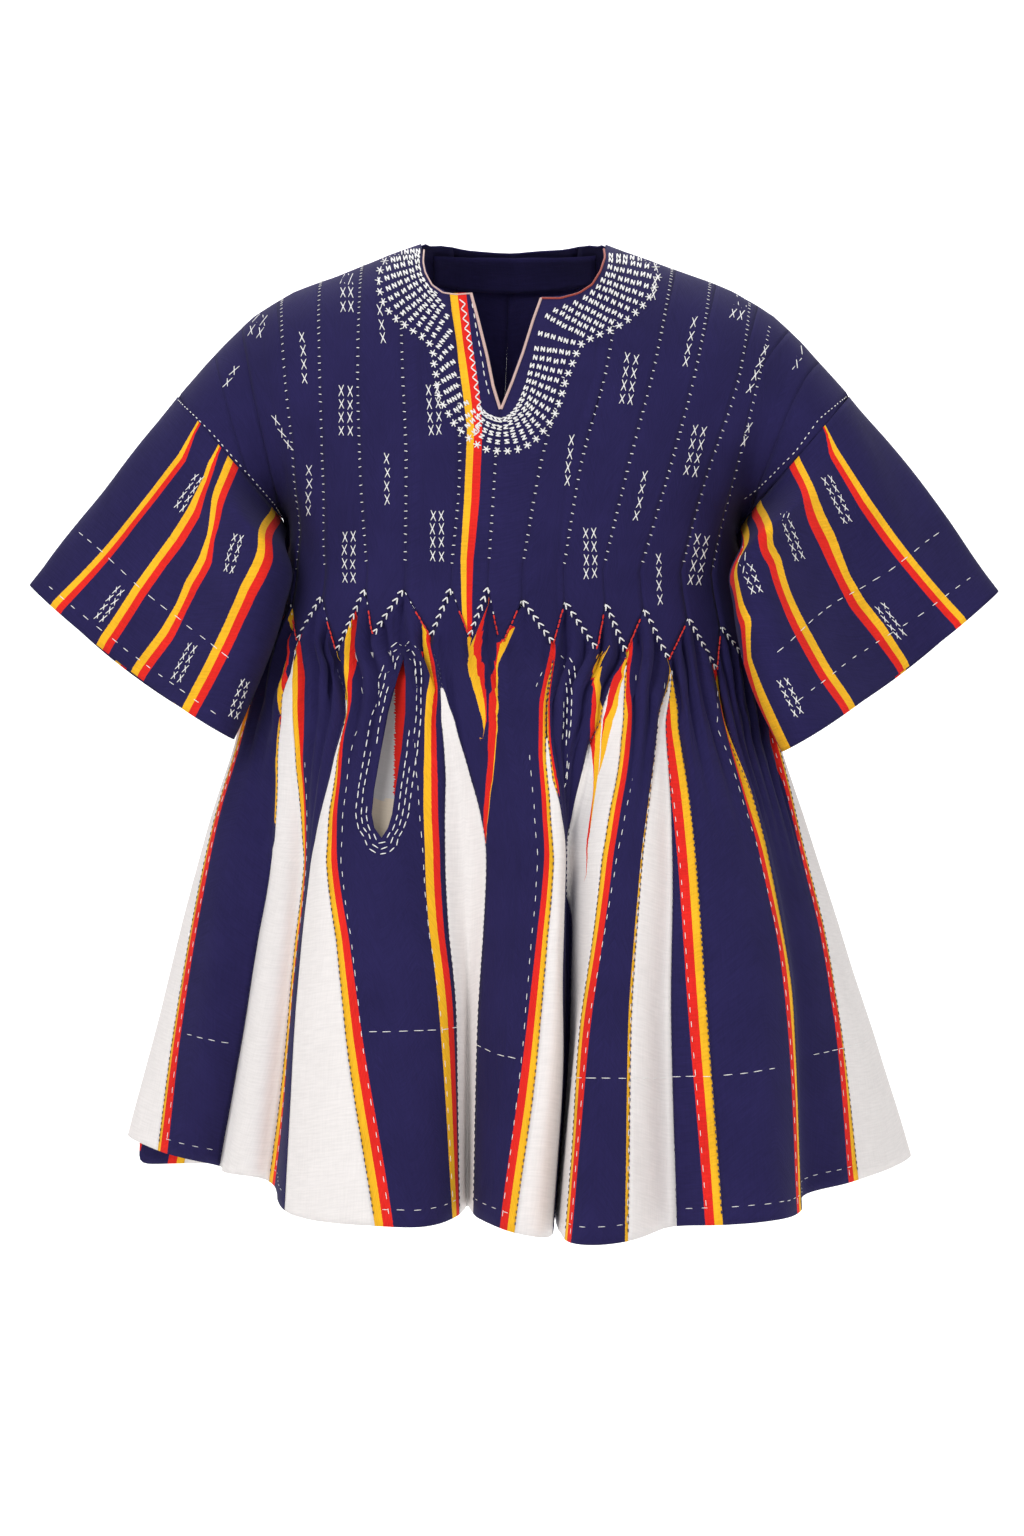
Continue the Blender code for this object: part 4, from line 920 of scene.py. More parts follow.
def sheet_piece(name, columns, rises, finish, maps, closed=False, straight=False):
    """A thin sheet through columns of points with directions, raised by its creases.

    maps gives a pair of numbers at each row and column for each named UV map, or two pairs, for
    the faces on either side of the column. The width of the cut, that of the last row, or for a
    straight strip its usual width square to its length, is worked out but not kept.
    """
    points = rows_of(columns, 0)
    normals = rows_of(columns, 1)
    across, down = grid_lengths(points)
    raised = points + normals * np.asarray(rises)[..., None]
    rows, cols = points.shape[:2]
    bm = bmesh.new()
    bmesh.ops.create_grid(bm, x_segments=cols - 1, y_segments=rows - 1, size=1.0)
    layers = {key: bm.loops.layers.uv.new(key) for key in ["cloth"] + list(maps)}
    places = {}
    for vert in bm.verts:
        col = int(round((vert.co.x + 1) / 2 * (cols - 1)))
        row = int(round((1 - vert.co.y) / 2 * (rows - 1)))
        places[vert] = (row, col)
    for face in bm.faces:
        face.smooth = True
        first = min(places[loop.vert][1] for loop in face.loops)
        for loop in face.loops:
            row, col = places[loop.vert]
            loop[layers["cloth"]].uv = (across[row, col], down[row, col])
            for key, values in maps.items():
                spot = values[row][col]
                loop[layers[key]].uv = spot[col - first] if len(np.shape(spot)) == 2 else spot
    for vert, (row, col) in places.items():
        vert.co = raised[row, col]
    if closed:
        bmesh.ops.remove_doubles(bm, verts=bm.verts, dist=0.00002)
    bm.normal_update()
    agree = sum(face.normal.dot(Vector(normals[places[face.verts[0]]])) for face in bm.faces
                if face.verts[0] in places)
    if agree < 0:
        bmesh.ops.reverse_faces(bm, faces=bm.faces)
    item = mesh_item(name, bm)
    item.data.materials.append(finish_of(finish))
    solid = item.modifiers.new("Thickness", "SOLIDIFY")
    solid.thickness = cloth().thickness
    solid.offset = -1
    solid.use_even_offset = False
    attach(item, "root")
    width = strip_width(points) if straight else float(across[-1, -1])
    return item


def plain_sheet(node, columns, crease, finish, maps=None, straight=False):
    """A sheet that takes the place of its own solid, its creases a function of the place."""
    rises = [[crease(column[r][0]) for column in columns] for r in range(len(columns[0]))]
    item = sheet_piece("cloth_" + node, columns, rises, finish, maps or {}, straight=straight)
    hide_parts(node)
    return item


def new_finish(name, values):
    """A new material, its node tree and its shader, with these values set on the shader."""
    finish = bpy.data.materials.new(name)
    finish.use_nodes = True
    shader = finish.node_tree.nodes["Principled BSDF"]
    for key, value in values.items():
        shader.inputs[key].default_value = value
    return finish, finish.node_tree, shader


def add_node(tree, kind, inputs, output=0, **settings):
    """An output of a new node, its inputs linked to sockets or set to values."""
    node = tree.nodes.new("ShaderNode" + kind)
    for key, value in settings.items():
        setattr(node, key, value)
    for key, value in inputs.items():
        if isinstance(value, bpy.types.NodeSocket):
            tree.links.new(value, node.inputs[key])
        else:
            node.inputs[key].default_value = value
    return node.outputs[output]


def math_node(tree, kind, *values):
    """A Math node whose inputs are sockets or numbers."""
    return add_node(tree, "Math", dict(enumerate(values)), operation=kind)


def mix_colour(tree, factor, first, second):
    """Mix two colours, each a socket or a colour, by a socket."""
    first, second = [colour if isinstance(colour, bpy.types.NodeSocket) else (*colour, 1.0)
                     for colour in (first, second)]
    return add_node(tree, "Mix", {0: factor, 6: first, 7: second}, 2, data_type="RGBA")


def uv_part(tree, name, part):
    """One of the two numbers of a named UV map."""
    return add_node(tree, "SeparateXYZ", {0: add_node(tree, "UVMap", {}, uv_map=name)}, part)


def noise_node(tree, vector, scale, detail, stretch=None):
    """A noise texture over a vector socket, stretched by a scale for each direction."""
    if stretch:
        vector = add_node(tree, "Mapping", {"Vector": vector, "Scale": stretch})
    return add_node(tree, "TexNoise", {"Vector": vector, "Scale": scale, "Detail": detail}, "Fac")


def woven(name, ground, stripes, rib, mottle):
    """Handwoven cotton: ribs of the weft, fine warp lines, uneven colour and woven stripes.

    stripes is a list of UV map, part, start, end and colour, over the ground in turn. A start
    or end is a distance, or the map and part that hold it.
    """
    finish, tree, shader = new_finish(name, CLOTH_SHEEN)
    place = add_node(tree, "UVMap", {}, uv_map="cloth")
    weft = noise_node(tree, place, 1.0, 2.0, WEFT_GRAIN)
    warp = noise_node(tree, place, 1.0, 2.0, WARP_GRAIN)
    cloud = noise_node(tree, add_node(tree, "TexCoord", {}, "Object"), 22.0, 6.0)
    colour = tuple(ground)
    for key, part, start, end, tint in stripes:
        fixed = not isinstance(start, tuple) and not isinstance(end, tuple)
        reach = 0.06 * (end - start) if fixed else 0.0004
        start, end = [uv_part(tree, *limit) if isinstance(limit, tuple) else limit
                      for limit in (start, end)]
        ragged = math_node(tree, "MULTIPLY_ADD", weft, 2 * reach, -reach)
        value = math_node(tree, "ADD", uv_part(tree, key, part), ragged)
        inside = math_node(tree, "MULTIPLY", math_node(tree, "GREATER_THAN", value, start),
                           math_node(tree, "LESS_THAN", value, end))
        colour = mix_colour(tree, inside, colour, tint)
    threads = math_node(tree, "ADD", math_node(tree, "MULTIPLY", weft, rib),
                        math_node(tree, "MULTIPLY", warp, rib * 0.6))
    shade = math_node(tree, "ADD", threads, math_node(tree, "MULTIPLY", cloud, mottle))
    level = math_node(tree, "ADD", shade, 1.0 - rib * 0.8 - mottle * 0.5)
    shaded = add_node(tree, "VectorMath", {0: colour, "Scale": level}, operation="SCALE")
    tree.links.new(shaded, shader.inputs["Base Color"])
    bump = add_node(tree, "Bump", {"Strength": 0.7, "Distance": 0.0009, "Height": threads})
    tree.links.new(bump, shader.inputs["Normal"])
    return finish


def thread_finish(name, tint):
    """Twisted cotton thread."""
    finish, tree, shader = new_finish(name, THREAD_SHEEN)
    twist = noise_node(tree, add_node(tree, "TexCoord", {}, "Object"), 900.0, 2.0)
    level = math_node(tree, "MULTIPLY_ADD", twist, 0.5, 0.72)
    shaded = add_node(tree, "VectorMath", {0: tuple(tint), "Scale": level}, operation="SCALE")
    tree.links.new(shaded, shader.inputs["Base Color"])
    return finish


def finish_of(key):
    """One of the materials, made when it is first asked for."""
    if key not in FINISHES:
        c = colours()
        left = edge_bands(0, c.yellow, c.red)
        both = left + edge_bands(1, c.yellow, c.red)
        folded = leg_bands(0, c.red, c.yellow)
        cloths = {
            "strip": ("navy strip", c.navy, [], *STRIP_GRAIN),
            "strip_striped": ("navy strip with stripe", c.navy, left, *STRIP_GRAIN),
            "gore": ("navy gore", c.navy, both, *GORE_GRAIN),
            "gore_swapped": ("navy gore, red selvedge", c.navy,
                             left + edge_bands(1, c.red, c.yellow), *GORE_GRAIN),
            "gore_legs": ("navy gore with free stripes", c.navy,
                          both + leg_bands(0, c.yellow, c.red) + leg_bands(1, c.red, c.yellow),
                          *GORE_GRAIN),
            "gore_folded": ("navy gore with a folded stripe", c.navy, both + folded, *GORE_GRAIN),
            "godet_legs": ("white godet with folded stripes", c.white,
                           folded + leg_bands(1, c.red, c.yellow), *GODET_GRAIN),
            "godet": ("white godet", c.white, [], *GODET_GRAIN),
            "sleeve": ("navy sleeve", c.navy, sleeve_bands(c.yellow, c.red), *STRIP_GRAIN),
            "pocket": ("pocket bag", c.lining, [("patch", 0, 0.0, 1.0, c.red),
                                                ("patch", 1, 0.0, 1.0, c.cream)], *LINING_GRAIN),
        }
        threads = {
            "thread_white": ("white thread", c.thread), "thread_red": ("red thread", c.red),
            "thread_dark": ("dark thread", c.navy), "cord_pink": ("pink cord", c.pink),
            "cord_rust": ("rust cord", c.rust),
        }
        made = woven(*cloths[key]) if key in cloths else thread_finish(*threads[key])
        FINISHES[key] = made
    return FINISHES[key]


def edge_bands(part, outer, inner):
    """The two halves of a stripe beside the seam on one side of a panel."""
    return [("edges", part, *OUTER_BAND, outer), ("edges", part, *INNER_BAND, inner)]


def leg_bands(number, left, right):
    """The two parts of a stripe that no seam carries."""
    key = "leg_%d" % number
    return [(key, 0, (key, 1), 0.0, left), (key, 0, 0.0, ("leg_rights", number), right)]


def sleeve_bands(left, right):
    """The stripes of a sleeve, each on its own part of a UV map."""
    bands = []
    for i in range(8):
        for start, tint in ((-1.0, left), (0.0, right)):
            bands.append(("stripes_%d" % (i // 2), i % 2, start, start + 1.0, tint))
    return bands


def edge_maps(columns, left, right, start_left, start_right):
    """The edges map of a panel: distance from each seam, moved by the stripes' tucks."""
    points = rows_of(columns, 0)
    across = grid_lengths(points)[0]
    values = []
    for r, heights in enumerate(points[:, :, 2]):
        values.append([(across[r, k] + tuck_at(left, start_left - z),
                        across[r, -1] - across[r, k] + tuck_at(right, start_right - z))
                       for k, z in enumerate(heights)])
    return {"edges": values}


def strip_column(seam, top_z, face, shift, count=58):
    """Points down one line of a strip, close together where the cloth turns over the shoulder."""
    column = []
    for i in range(count + 1):
        z = top_z + (WAIST_Z - top_z) * (i / count) ** 2
        at_side = abs(seam[4]) == 90 and z <= UNDERARM[1]
        x = seam_x(seam, z, top_z if top_z > -0.1 else 0.0)
        x += 0.0 if at_side else shift
        column.append(upper_point(x, z, face))
    return column + strip_foot(seam, face, shift)


def strip_foot(seam, face, shift, count=7):
    """Points from the straight part of a strip down to the tip of its point."""
    angle = seam[4] if face < 0 else 180 - seam[4]
    line = line_of_angle(angle)
    tip = level_of(waist_height(angle) + SEAM_GAP / 2, line)
    edge = 0.0 if shift == 0 else math.copysign(SEAM_GAP / 2, shift)
    if abs(seam[4]) == 90:
        edge = math.copysign(SEAM_GAP / 2, -seam[4])
    edge = edge if face < 0 else -edge
    levels = [tip * i / count for i in range(1, count + 1)]
    return [skirt_point(level, arc_of(level, line) + edge) for level in levels]


def neck_column(seam, top_z, face, shift, by_slit, count=44):
    """Points down a line that starts at the neck edge or at the slit's edge."""
    slit = seam[0] == "slit"
    width = torso_size(WAIST_Z)[0]
    heights = [WAIST_Z, -0.2, SLIT_TIP[1] if slit else -0.12, top_z]
    middle = SLIT_TIP[0] if slit else seam[2] * MM
    values = [width * math.sin(math.radians(seam[4])), seam[3] * MM, middle, seam[1] * MM]
    column = []
    for i in range(count + 1):
        share = i / count
        split = min(share * 2, 1.0) + max(share * 2 - 1, 0.0)
        z = top_z + (SLIT_TIP[1] - top_z) * min(split, 1.0)
        z += (WAIST_Z - SLIT_TIP[1]) * max(split - 1.0, 0.0)
        z = z * by_slit + (top_z + (WAIST_Z - top_z) * share ** 2) * (1 - by_slit)
        if z <= heights[2]:
            x = float(curve(heights[:3], values[:3], z))
        elif slit:
            x = float(np.interp(z, heights[2:], values[2:]))
        else:
            x = float(curve(heights, values, z))
        x += shift
        column.append(upper_point(x, min(z, shoulder_height(x)), face))
    return column + strip_foot(seam, face, shift)


def across_strip(left, right, parts=8):
    """Share across, seam and shift off the seam of each line of a strip."""
    for k in range(parts + 1):
        share = k / parts
        seam = left if k == 0 else right if k == parts else between(left, right, share)
        shift = SEAM_GAP / 2 if k == 0 else -SEAM_GAP / 2 if k == parts else 0.0
        yield share, seam, shift


def shoulder_columns(left, right):
    """Columns of a strip from the front waist over the shoulder to the back waist."""
    columns = []
    for _, seam, shift in across_strip(left, right):
        top = shoulder_height(seam[1] * MM + shift)
        front = strip_column(seam, top, -1, shift)
        columns.append(front[::-1] + strip_column(seam, top, 1, shift)[1:])
    return columns


def neck_columns(face, left, right, tops):
    """Columns of a strip that ends at the neck edge; tops: share across, x, height.

    Where a top has no height it lies on the shoulder line.
    """
    marks = np.array([(share, x) for share, x, _ in tops], float)
    columns = []
    for share, seam, shift in across_strip(left, right):
        top_x = float(np.interp(share, marks[:, 0], marks[:, 1]))
        seam = (seam[0], top_x) + tuple(seam[2:])
        roof = shoulder_height(top_x * MM + shift)
        heights = [roof if top[2] is None else top[2] * MM for top in tops]
        top = min(float(np.interp(share, marks[:, 0], heights)), roof)
        by_slit = share if right[0] == "slit" else 1 - share if left[0] == "slit" else 0
        columns.append(neck_column(seam, top, face, shift, by_slit))
    return columns


def armhole_columns(side, outer_end, inner_end, inner_seam, count=9):
    """Columns of a strip that ends at the armhole seam."""
    along = UNDERARM - SHOULDER_TIP
    inward = np.array([-along[1], along[0]]) / np.hypot(*along)
    rows = [share ** 2 for share in np.linspace(0.0, 1.0, 26)]
    edges = []
    for top_x, share in (outer_end, inner_end):
        foot = SHOULDER_TIP + along * share + inward * SEAM_GAP / 2
        top = shoulder_height(top_x)
        heights = [top + (foot[1] - top) * step for step in rows]
        xs = [top_x + (foot[0] - top_x) * step for step in rows]
        if inner_seam and top_x == inner_end[0]:
            xs = [-abs(seam_x(inner_seam, z, top)) for z in heights]
        edges.append(np.array([xs, heights]).T)
    edges[0][:, 0] += SEAM_GAP
    edges[1][:, 0] -= SEAM_GAP
    columns = []
    for share in np.linspace(0.0, 1.0, count):
        line = edges[0] * (1 - share) + edges[1] * share
        stop = outer_end[1] + (inner_end[1] - outer_end[1]) * share
        line[0, 1] = shoulder_height(line[0, 0])
        line[-1] = SHOULDER_TIP + along * stop + inward * SEAM_GAP / 2
        front = [upper_point(-side * x, min(z, shoulder_height(x)), -1) for x, z in line]
        back = [upper_point(-side * x, min(z, shoulder_height(x)), 1) for x, z in line]
        columns.append(front[::-1] + back[1:])
    return columns


def strip(node, columns, finish="strip", maps=None):
    """One bodice strip in navy cloth."""
    plain_sheet(node, columns, bodice_crease, finish, maps, straight=True)


def skirt_columns(first, last, steps=66):
    """Columns of a gore or godet, and at each point its fold line, level and distance round."""
    width = arc_of(1.0, last) - arc_of(1.0, first)
    count = max(6, int(width / cloth().pitch))
    wedge = FOLD_ANGLES[first] == FOLD_ANGLES[last]
    columns = []
    lines = []
    places = []
    for k in range(count + 1):
        share = k / count
        angle = FOLD_ANGLES[first] + (FOLD_ANGLES[last] - FOLD_ANGLES[first]) * share
        line = first if k == 0 else last if k == count else line_of_angle(angle, first, last)
        if wedge:
            line = first + (last - first) * share
        tip = level_of(waist_height(angle) - SEAM_GAP / 2, line)
        if wedge:
            tip = wedge_start(first, last, tip)
        levels = [tip + (1.0 - tip) * (r / steps) ** 1.15 for r in range(steps + 1)]
        place = [(level, panel_arc(level, line, share, first, last, wedge)) for level in levels]
        columns.append([skirt_point(*spot) for spot in place])
        lines.append([line_at(level, line, share, first, last) for level in levels])
        places.append(place)
    return columns, lines, places


def wedge_start(first, last, tip):
    """The level at which two gores part by the width of a thread."""
    for level in np.linspace(tip, tip + 0.3, 121):
        if seam_arc(level, last) - seam_arc(level, first) > 0.001:
            return level
    return tip + 0.1


def seam_shifts():
    """How far each seam is moved along the skirt to where it shows: levels and shifts."""
    shifts = {}
    for name, pixels in SEAM_PIXELS.items():
        index = FOLD_NAMES.index(name)
        start = level_of(waist_height(FOLD_ANGLES[index]), index)
        found = [(start + 0.004, 0.0)]
        for px, py in pixels:
            level, arc = skirt_place(px, py)
            if level > start + 0.02:
                found.append((level, max(min(arc - arc_of(level, index), 0.02), -0.02)))
        found.append((found[-1][0] + 0.12, 0.0))
        shifts[index] = np.array(found)
    return shifts


def seam_arc(level, index):
    """Distance round to a seam at a level, where it shows."""
    if not SEAM_SHIFTS:
        SEAM_SHIFTS.update(seam_shifts())
    arc = arc_of(level, index)
    if index in SEAM_SHIFTS:
        table = SEAM_SHIFTS[index]
        arc += float(np.interp(level, table[:, 0], table[:, 1]))
    return arc


def panel_arc(level, line, share, first, last, wedge):
    """Distance round to a point of a panel, following the fold lines near the waist."""
    low = seam_arc(level, first) + SEAM_GAP / 2
    high = max(seam_arc(level, last) - SEAM_GAP / 2, low)
    even = low + (high - low) * share
    if wedge:
        return even
    exact = arc_of(level, line)
    exact += (seam_arc(level, first) - arc_of(level, first)) * (1 - share)
    exact += (seam_arc(level, last) - arc_of(level, last)) * share
    exact = min(max(exact, low), high)
    blend = soft_step((level - SKIRT_TOP) / 0.35)
    return exact + (even - exact) * blend


def line_at(level, line, share, first, last):
    """Number of the fold line at a point of a panel that is spread evenly lower down."""
    low = seam_arc(level, first)
    high = seam_arc(level, last)
    exact = arc_of(level, line)
    blend = soft_step((level - SKIRT_TOP) / 0.35)
    arc = exact + (low + (high - low) * share - exact) * blend
    return float(np.interp(arc, ring_at(level)[1] + np.arange(len(SAMPLES)) * 1e-12, SAMPLES))


def skirt_sheet(node, first, last, finish, tucks=None):
    """One gore, with the tucks of its stripes, or one godet, with its creases."""
    columns, lines, places = skirt_columns(first, last)
    rises = [[skirt_crease(columns[k][r][0], lines[k][r]) for k in range(len(columns))]
             for r in range(len(columns[0]))]
    maps = {}
    if tucks:
        maps = edge_maps(columns, *tucks, waist_height(FOLD_ANGLES[first]),
                         waist_height(FOLD_ANGLES[last]))
    if node in LEGS:
        maps.update(leg_maps(LEGS[node], places))
    item = sheet_piece("cloth_" + node, columns, rises, finish, maps)
    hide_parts(node)


def leg_maps(legs, places):
    """Maps of the stripes that no seam carries: distance from each middle, and its widths."""
    tracks = [leg_track(leg) for leg in legs]
    maps = {"leg_rights": []}
    for number in range(len(tracks)):
        maps["leg_%d" % number] = []
    for r in range(len(places[0])):
        found = [[leg_place(track, *place[r]) for track in tracks] for place in places]
        for number in range(len(tracks)):
            maps["leg_%d" % number].append([row[number][:2] for row in found])
        maps["leg_rights"].append([(row[0][2], row[-1][2]) for row in found])
    return maps


def leg_track(leg):
    """Levels, distances round and widths of one stripe."""
    track = []
    for px, py, left, right in leg:
        level, arc = skirt_place(px, py)
        track.append((level, arc, left * MM, right * MM))
    return np.array(sorted(track))


def leg_place(track, level, arc):
    """Distance of a place from a stripe's middle, and how far the stripe goes left and right."""
    middle, left, right = [float(np.interp(level, track[:, 0], track[:, i])) for i in (1, 2, 3)]
    if not track[0, 0] - 0.004 < level < track[-1, 0]:
        left = right = 0.0
    return arc - middle, -left, right


def seen_at(px, py, away):
    """Place from side to side and height of a pixel at this distance from the lens."""
    x = (px - PHOTO_MIDDLE) * PIXEL * away / LENS_AWAY
    return x, LENS_Z + (PHOTO_HEIGHT / 2 - py) * PIXEL * away / LENS_AWAY


def from_photo(px, py, face=-1):
    """The point of the bodice that shows at a pixel, or with face 1 the one behind it."""
    away = LENS_AWAY - 0.1
    for _ in range(6):
        x, z = seen_at(px, py, away)
        z = min(z, shoulder_height(x) - 0.0002)
        away = LENS_AWAY - cloth_depth(x, z)
    return creased_bodice(x, z, face)


def creased_bodice(x, z, face):
    """Point of the creased bodice and its outward direction."""
    point, normal = upper_point(x, z, face)
    return point + normal * bodice_crease(point), normal


def from_photo_sleeve(px, py):
    """The point of a sleeve's front that shows at a pixel of the photograph."""
    return sleeve_surface(*sleeve_spot(px, py))


def sleeve_spot(px, py):
    """Turn, share down and side of the place on a sleeve that shows at a pixel."""
    side = -1 if px < PHOTO_MIDDLE else 1
    away = LENS_AWAY - 0.06
    for _ in range(4):
        x, z = seen_at(px, py, away)
        turn, share = sleeve_place(-abs(x), z, side)
        away = LENS_AWAY + sleeve_point(turn, share, side)[1]
    return turn, share, side


def sleeve_grid(side):
    """Points of a sleeve's front on a grid of turns and shares, worked out once."""
    if side not in SLEEVE_GRIDS:
        turns = np.arccos(1 - 2 * np.linspace(0.02, 0.98, 25))
        shares = np.linspace(0.0, 1.0, 26)
        points = np.array([[sleeve_point(turn, share, side) for turn in turns] for share in shares])
        SLEEVE_GRIDS[side] = (turns, shares, points)
    return SLEEVE_GRIDS[side]


def sleeve_place(x, z, side):
    """Turn and share down of a sleeve's front at this place seen from the front."""
    turns, shares, points = sleeve_grid(side)
    miss = (points[:, :, 0] - x) ** 2 + (points[:, :, 2] - z) ** 2
    row, col = np.unravel_index(np.argmin(miss), miss.shape)
    turn, share = turns[col], shares[row]
    for _ in range(3):
        here = sleeve_point(turn, share, side)
        by_turn = (sleeve_point(turn + 0.01, share, side) - here) / 0.01
        by_share = (sleeve_point(turn, share + 0.01, side) - here) / 0.01
        matrix = np.array([[by_turn[0], by_share[0]], [by_turn[2], by_share[2]]])
        step = np.linalg.solve(matrix, np.array([x - here[0], z - here[2]]))
        turn = min(max(turn + step[0], 0.05), math.pi - 0.05)
        share = min(max(share + step[1], 0.0), 1.0)
    return turn, share


def sleeve_middle(share, side):
    """The middle of a sleeve's ring at this share down."""
    return sum(sleeve_point(turn, share, side) for turn in np.linspace(0, 2 * math.pi, 13)[:-1]) / 12


def sleeve_surface(turn, share, side):
    """Point of a sleeve's creased surface and its outward direction."""
    point = sleeve_point(turn, share, side)
    normal = sleeve_normal(turn, share, sleeve_middle(share, side), side)
    mirror = np.array([-float(side), 1.0, 1.0])
    point = (point + normal * sleeve_crease(turn, share, side)) * mirror
    return point, normal * mirror


def skirt_place(px, py):
    """Level and distance round of the place on the skirt that shows at a pixel."""
    level = 0.6
    away = LENS_AWAY - 0.15
    for _ in range(6):
        x, z = seen_at(px, py, away)
        points, arcs = ring_at(level)
        ahead = np.roll(points[:, 0], -1)
        spans = np.nonzero((points[:-1, 0] - x) * (ahead[:-1] - x) <= 0)[0]
        spans = [i for i in spans if points[i, 1] < 0] or [int(np.argmin(np.abs(points[:, 0] - x)))]
        best = min(spans, key=lambda i: points[i, 1])
        width = ahead[best] - points[best, 0]
        share = min(max((x - points[best, 0]) / width, 0.0), 1.0) if abs(width) > 1e-6 else 0.0
        arc = arcs[best] + (arcs[best + 1] - arcs[best]) * share
        here = skirt_point(level, arc)[0]
        away = LENS_AWAY + here[1]
        level = min(max(level + (here[2] - z) / 0.52, 0.02), 0.995)
    return level, arc


def creased_skirt(level, arc):
    """Point of the creased skirt at a level and distance round, and its outward direction."""
    point, normal = skirt_point(level, arc)
    arcs = ring_at(level)[1]
    line = float(np.interp(arc % arcs[-1], arcs, SAMPLES))
    return point + normal * skirt_crease(point, line), normal


def from_photo_skirt(px, py):
    """The point of the creased skirt that shows at a pixel of the photograph."""
    return creased_skirt(*skirt_place(px, py))


class Stitches:
    """Many small threads gathered into one mesh."""

    def __init__(self, name, finish):
        self.name = name
        self.finish = finish
        self.rows = []
        bm = bmesh.new()
        bmesh.ops.create_uvsphere(bm, u_segments=5, v_segments=4, radius=1.0)
        self.template = np.array([tuple(vert.co) for vert in bm.verts])
        self.faces = [[vert.index for vert in face.verts] for face in bm.faces]
        bm.free()
        self.template[:, 2] = np.sign(self.template[:, 2]) * np.abs(self.template[:, 2]) ** 0.4

    def add(self, start, end, normal, thickness):
        """One stitch between two points of the cloth."""
        radius = thickness / 2
        lift = normal * radius * 0.7
        self.rows.append((start + lift, end + lift, normal, radius))

    def run(self, points, pitch, length, thickness, across=False, jitter=0.15, seed=1):
        """Stitches along a line of points with directions, or across it."""
        line, normals = [np.array(part) for part in zip(*points)]
        arcs = distances(line)
        rng = random.Random(seed)
        place = pitch * 0.5
        while place + length * 0.5 < arcs[-1]:
            middle = along_line(place, arcs, line)
            normal = along_line(place, arcs, normals)
            normal /= max(np.linalg.norm(normal), 1e-9)
            way = along_line(place + 0.001, arcs, line) - middle
            way /= max(np.linalg.norm(way), 1e-9)
            if across:
                way = np.cross(way, normal) + way * rng.uniform(-0.25, 0.25)
            half = way * length / 2 * (1 + rng.uniform(-jitter, jitter))
            side = np.cross(way, normal) * rng.uniform(-1, 1) * length * jitter * 0.3
            self.add(middle - half + side, middle + half + side, normal, thickness)
            place += pitch * (1 + rng.uniform(-jitter, jitter))

    def build(self):
        """Make the mesh object."""
        verts = []
        faces = []
        t = self.template
        for start, end, normal, radius in self.rows:
            length = max(np.linalg.norm(end - start), 1e-6)
            way = (end - start) / length
            side = np.cross(way, normal)
            side /= max(np.linalg.norm(side), 1e-9)
            up = np.cross(side, way)
            body = (start + end) / 2 + np.outer(t[:, 2] * (length / 2), way)
            body = body + np.outer(t[:, 0] * radius, side) + np.outer(t[:, 1] * radius * 0.8, up)
            offset = len(verts) * len(t)
            faces += [[offset + i for i in face] for face in self.faces]
            verts.append(body)
        mesh = bpy.data.meshes.new(self.name)
        mesh.from_pydata(np.concatenate(verts).tolist(), [], faces)
        mesh.polygons.foreach_set("use_smooth", [True] * len(mesh.polygons))
        mesh.materials.append(finish_of(self.finish))
        item = new_item(self.name, mesh)
        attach(item, "root")


# Strips that end at the neck: face, seam on the left and on the right, then the top edge as
# share across, x and height, which is None on the shoulder line.
NECK_STRIPS = [
    ("strip_left_2_front", -1, "l2", "l1",
     [(0, -95, None), (0.25, -79, None), (0.5, -76, -22), (0.75, -68, -47), (1, -53, -57)]),
    ("strip_left_2_back", 1, "l2", "l1",
     [(0, -95, None), (0.25, -79, None), (0.5, -72, 4), (0.75, -63, 6), (1, -53, 7)]),
    ("strip_right_2_front", -1, "r1", "r2",
     [(0, 57, -54), (0.25, 68, -45), (0.5, 75, -22), (0.75, 79, None), (1, 94, None)]),
    ("strip_right_2_back", 1, "r1", "r2",
     [(0, 57, 7), (0.25, 66, 6), (0.5, 73, 4), (0.75, 79, None), (1, 94, None)]),
    ("strip_left_1_back", 1, "l1", "centre", [(0, -53, 7), (1, -3, 7)]),
    ("strip_right_1_back", 1, "centre", "r1", [(0, -3, 7), (1, 57, 7)]),
    ("strip_right_1_front", -1, "slit_right", "r1",
     [(0, 23, -60), (0.25, 31, -60), (0.5, 40, -59), (0.75, 49, -57), (1, 57, -54)]),
]


